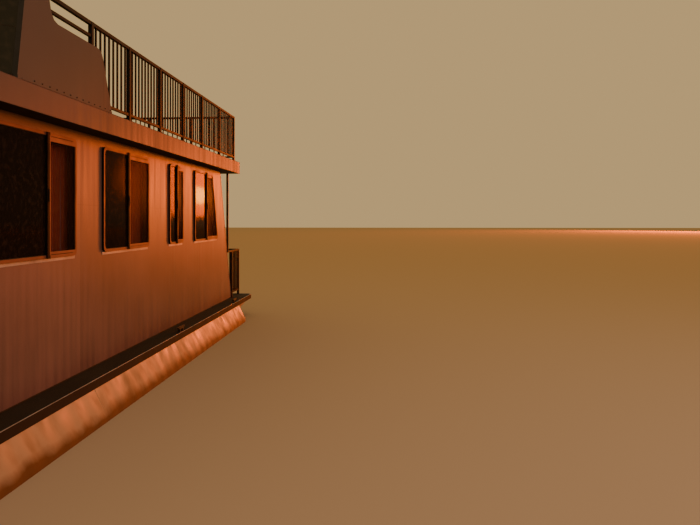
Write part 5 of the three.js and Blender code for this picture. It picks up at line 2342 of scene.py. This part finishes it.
@dataclass
class SternDrive(SubAssembly):
    """The stern drive: mount, gimbal, leg and propeller, with bolts, zinc fin and nut."""

    edge: float = 0.007
    trim: Point = (-5.300, 0.0, 0.500)
    mount_levels: Point = (0.362, 0.526, 0.690)
    # The leg's bolts and the fin's outline, from the trim axis
    bolts: tuple[Point, ...] = (
        (-0.155, 0.030), (-0.230, 0.020), (-0.150, -0.110), (-0.240, -0.110), (-0.190, -0.430)
    )
    fin: tuple[Point, ...] = (
        (-0.395, -0.1355), (-0.300, -0.1355), (-0.308, -0.143), (-0.388, -0.146)
    )

    def build(self) -> None:
        """Models the drive's pieces."""
        for node, body, width in (
            ("drive_mount", "boat", 0.004),
            ("drive_gimbal", "drive_gimbal", 0.004),
            ("drive_leg", "drive_leg", self.edge),
        ):
            casting = eased(from_node(node, f"{node}_casting"), width, 3, angle=25.0)
            self.dress(casting, DRIVE_ENAMEL, "drive_paint", body, [node])
        screw = eased(from_node("propeller", "propeller_ground"), 0.0015, 2, angle=25.0)
        self.dress(screw, PROP_METAL, "prop_metal", "propeller", ["propeller"])
        self.mount_bolts()
        self.leg_fittings()
        self.propeller_nut()

    def mount_bolts(self) -> None:
        """Models the six bolts that hold the mount to the transom."""
        low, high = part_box("drive_mount")
        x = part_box("engine_pod")[0].x - 0.060
        bolts = [
            bolt_head("bolt", (x, y, z), 0.011, 0.009, AFTWARD)
            for y in (low.y + 0.028, high.y - 0.028)
            for z in self.mount_levels
        ]
        self.dress(eased(joined("drive_mount_bolts", bolts), 0.001), STAINLESS, "drive_paint")

    def leg_fittings(self) -> None:
        """Models the leg's cover bolts and the zinc fin under its plate."""
        tx, _, tz = self.trim
        pieces = [
            bolt_head("bolt", (tx + x, side * 0.042, tz + z), 0.009, 0.006, (0, side, 0))
            for side in (-1, 1)
            for x, z in self.bolts
        ]
        bolts = eased(joined("drive_leg_bolts", pieces), 0.0008)
        self.dress(bolts, STAINLESS, "drive_paint", "drive_leg")
        # A low zinc fin under the plate, clear of the propeller's tips
        corners = [(tx + x, 0, tz + z) for x, z in self.fin]
        tab = add_prism("drive_trim_tab", corners, (0, 0.012, 0))
        self.dress(eased(tab, 0.003), ZINC, "prop_metal", "drive_leg")

    def propeller_nut(self) -> None:
        """Models the nut and washer at the propeller's aft end."""
        low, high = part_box("propeller")
        z = (low.z + high.z) / 2
        washer = add_rod("washer", (low.x + 0.004, 0, z), (low.x - 0.004, 0, z), 0.028, 32)
        nut = add_rod("nut", (low.x - 0.003, 0, z), (low.x - 0.022, 0, z), 0.019, 6)
        whole = joined("propeller_nut", [washer, nut])
        self.dress(eased(whole, 0.001), STAINLESS, "prop_metal", "propeller")


# Studio


@dataclass(frozen=True)
class SoftBox:
    """A soft box light: its place, what it faces, its size, power in watts and tone."""

    name: str
    at: Point
    aim: Point
    size: Point
    power: float
    tone: str
    # Whether it lights dull surfaces, and whether it shows in glossy ones
    floods: bool = True
    gleams: bool = True

    def build(self) -> None:
        """Hangs the light."""
        light = bpy.data.lights.new(self.name, "AREA")
        light.shape = "ELLIPSE"
        light.size, light.size_y = self.size
        light.energy = self.power
        light.color = linear(self.tone)[:3]
        box = bpy.data.objects.new(self.name, light)
        box.location = self.at
        facing = Vector(self.aim) - Vector(self.at)
        box.rotation_euler = facing.to_track_quat("-Z", "Y").to_euler()
        box.visible_camera = False
        box.visible_diffuse = self.floods
        box.visible_glossy = self.gleams
        bpy.context.scene.collection.objects.link(box)


# The key light is low and far aft, so that the sides gleam warm towards the stern
SOFT_BOXES = (
    SoftBox("low_key", (-77, 26, 7.8), (-3.2, 1.75, 2.8), (17.0, 10.5), 17500, "#ff5a06", floods=False),
    SoftBox("low_glint", (-30, 10.2, 3.7), (-3.5, 1.75, 2.4), (1.0, 1.0), 140, "#ffb020", floods=False),
    SoftBox("low_flood", (-80, 60, 9.0), (0.0, 0.0, 2.0), (50.0, 12.0), 46000, "#ff7016", gleams=False),
    SoftBox("high_fill", (7, 13, 8.0), (1.0, 1.75, 1.5), (9.0, 6.0), 520, "#d4cdf0", gleams=False),
    SoftBox("bow_fill", (13, 2, 6.5), (3.0, 0.0, 2.0), (6.0, 5.0), 150, "#ffe6cc"),
)


@dataclass
class Studio:
    """The pale floor at the waterline, the soft lights and the camera."""

    floor_size: float = 240.0
    floor_tone: str = "#b8a284"
    sky_tone: str = "#e0bb80"
    sky_strength: float = 0.75
    # The camera stands at the bow's port quarter and looks aft along the side
    camera_at: Point = (5.55, 4.668, 2.296)
    camera_turn: float = 93.53
    lens: float = 30.857
    sensor: float = 36.0
    shift_up: float = -0.0624

    def build(self) -> None:
        """Sets the floor, the lights and the camera."""
        self.floor()
        self.sky()
        for box in SOFT_BOXES:
            box.build()
        self.camera()

    def floor(self) -> None:
        """Makes the pale floor, which stands at the boat's waterline."""
        bpy.ops.object.select_all(action="DESELECT")
        bpy.ops.mesh.primitive_plane_add(size=self.floor_size, location=(0, 0, WATERLINE))
        floor = settle("studio_floor")
        paint = bpy.data.materials.new("matt_floor_paint")
        paint.use_nodes = True
        shader = paint.node_tree.nodes["Principled BSDF"].inputs
        shader["Base Color"].default_value = linear(self.floor_tone)
        shader["Roughness"].default_value = 1.0
        shader["Specular IOR Level"].default_value = 0.0
        floor.data.materials.append(paint)

    def sky(self) -> None:
        """Gives the scene an even, slightly warm light from all round."""
        world = bpy.data.worlds.new("studio_sky")
        bpy.context.scene.world = world
        world.use_nodes = True
        background = world.node_tree.nodes["Background"].inputs
        background["Color"].default_value = linear(self.sky_tone)
        background["Strength"].default_value = self.sky_strength

    def camera(self) -> None:
        """Sets the camera where the photograph was taken from."""
        data = bpy.data.cameras.new("camera")
        data.lens, data.sensor_width, data.sensor_fit = self.lens, self.sensor, "HORIZONTAL"
        data.shift_y = self.shift_up
        data.clip_end = 500.0
        camera = bpy.data.objects.new("camera", data)
        camera.location = self.camera_at
        camera.rotation_euler = (math.radians(90), 0, math.radians(self.camera_turn))
        bpy.context.scene.collection.objects.link(camera)
        bpy.context.scene.camera = camera


WINDOWS = (
    SideWindow("saloon", ((1.825, 1.781), (0.614, 0.570))),
    SideWindow("galley", ((-0.989, -1.031),)),
    SideWindow("washroom", ((-2.543, -2.585),)),
    SideWindow("cabin", ((-3.904, -3.946),), raked=True),
)


def main() -> None:
    """Builds every sub-assembly in order, then the studio."""
    logging.basicConfig(level=logging.INFO, format="%(message)s")
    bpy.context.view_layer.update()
    parts: list[SubAssembly | Studio] = [
        Hull(),
        Deck(),
        CabinWalls(),
        *WINDOWS,
        SlidingDoor("fore", FORE_RAKE),
        SlidingDoor("aft", AFT_RAKE),
        Curtains(),
        Roof(),
        Railings(),
        Wings(),
        Windscreen(),
        Helm(),
        Cushions(),
        Ladder(),
        SternDrive(),
        Studio(),
    ]
    for part in parts:
        part.build()


if __name__ == "__main__":
    main()
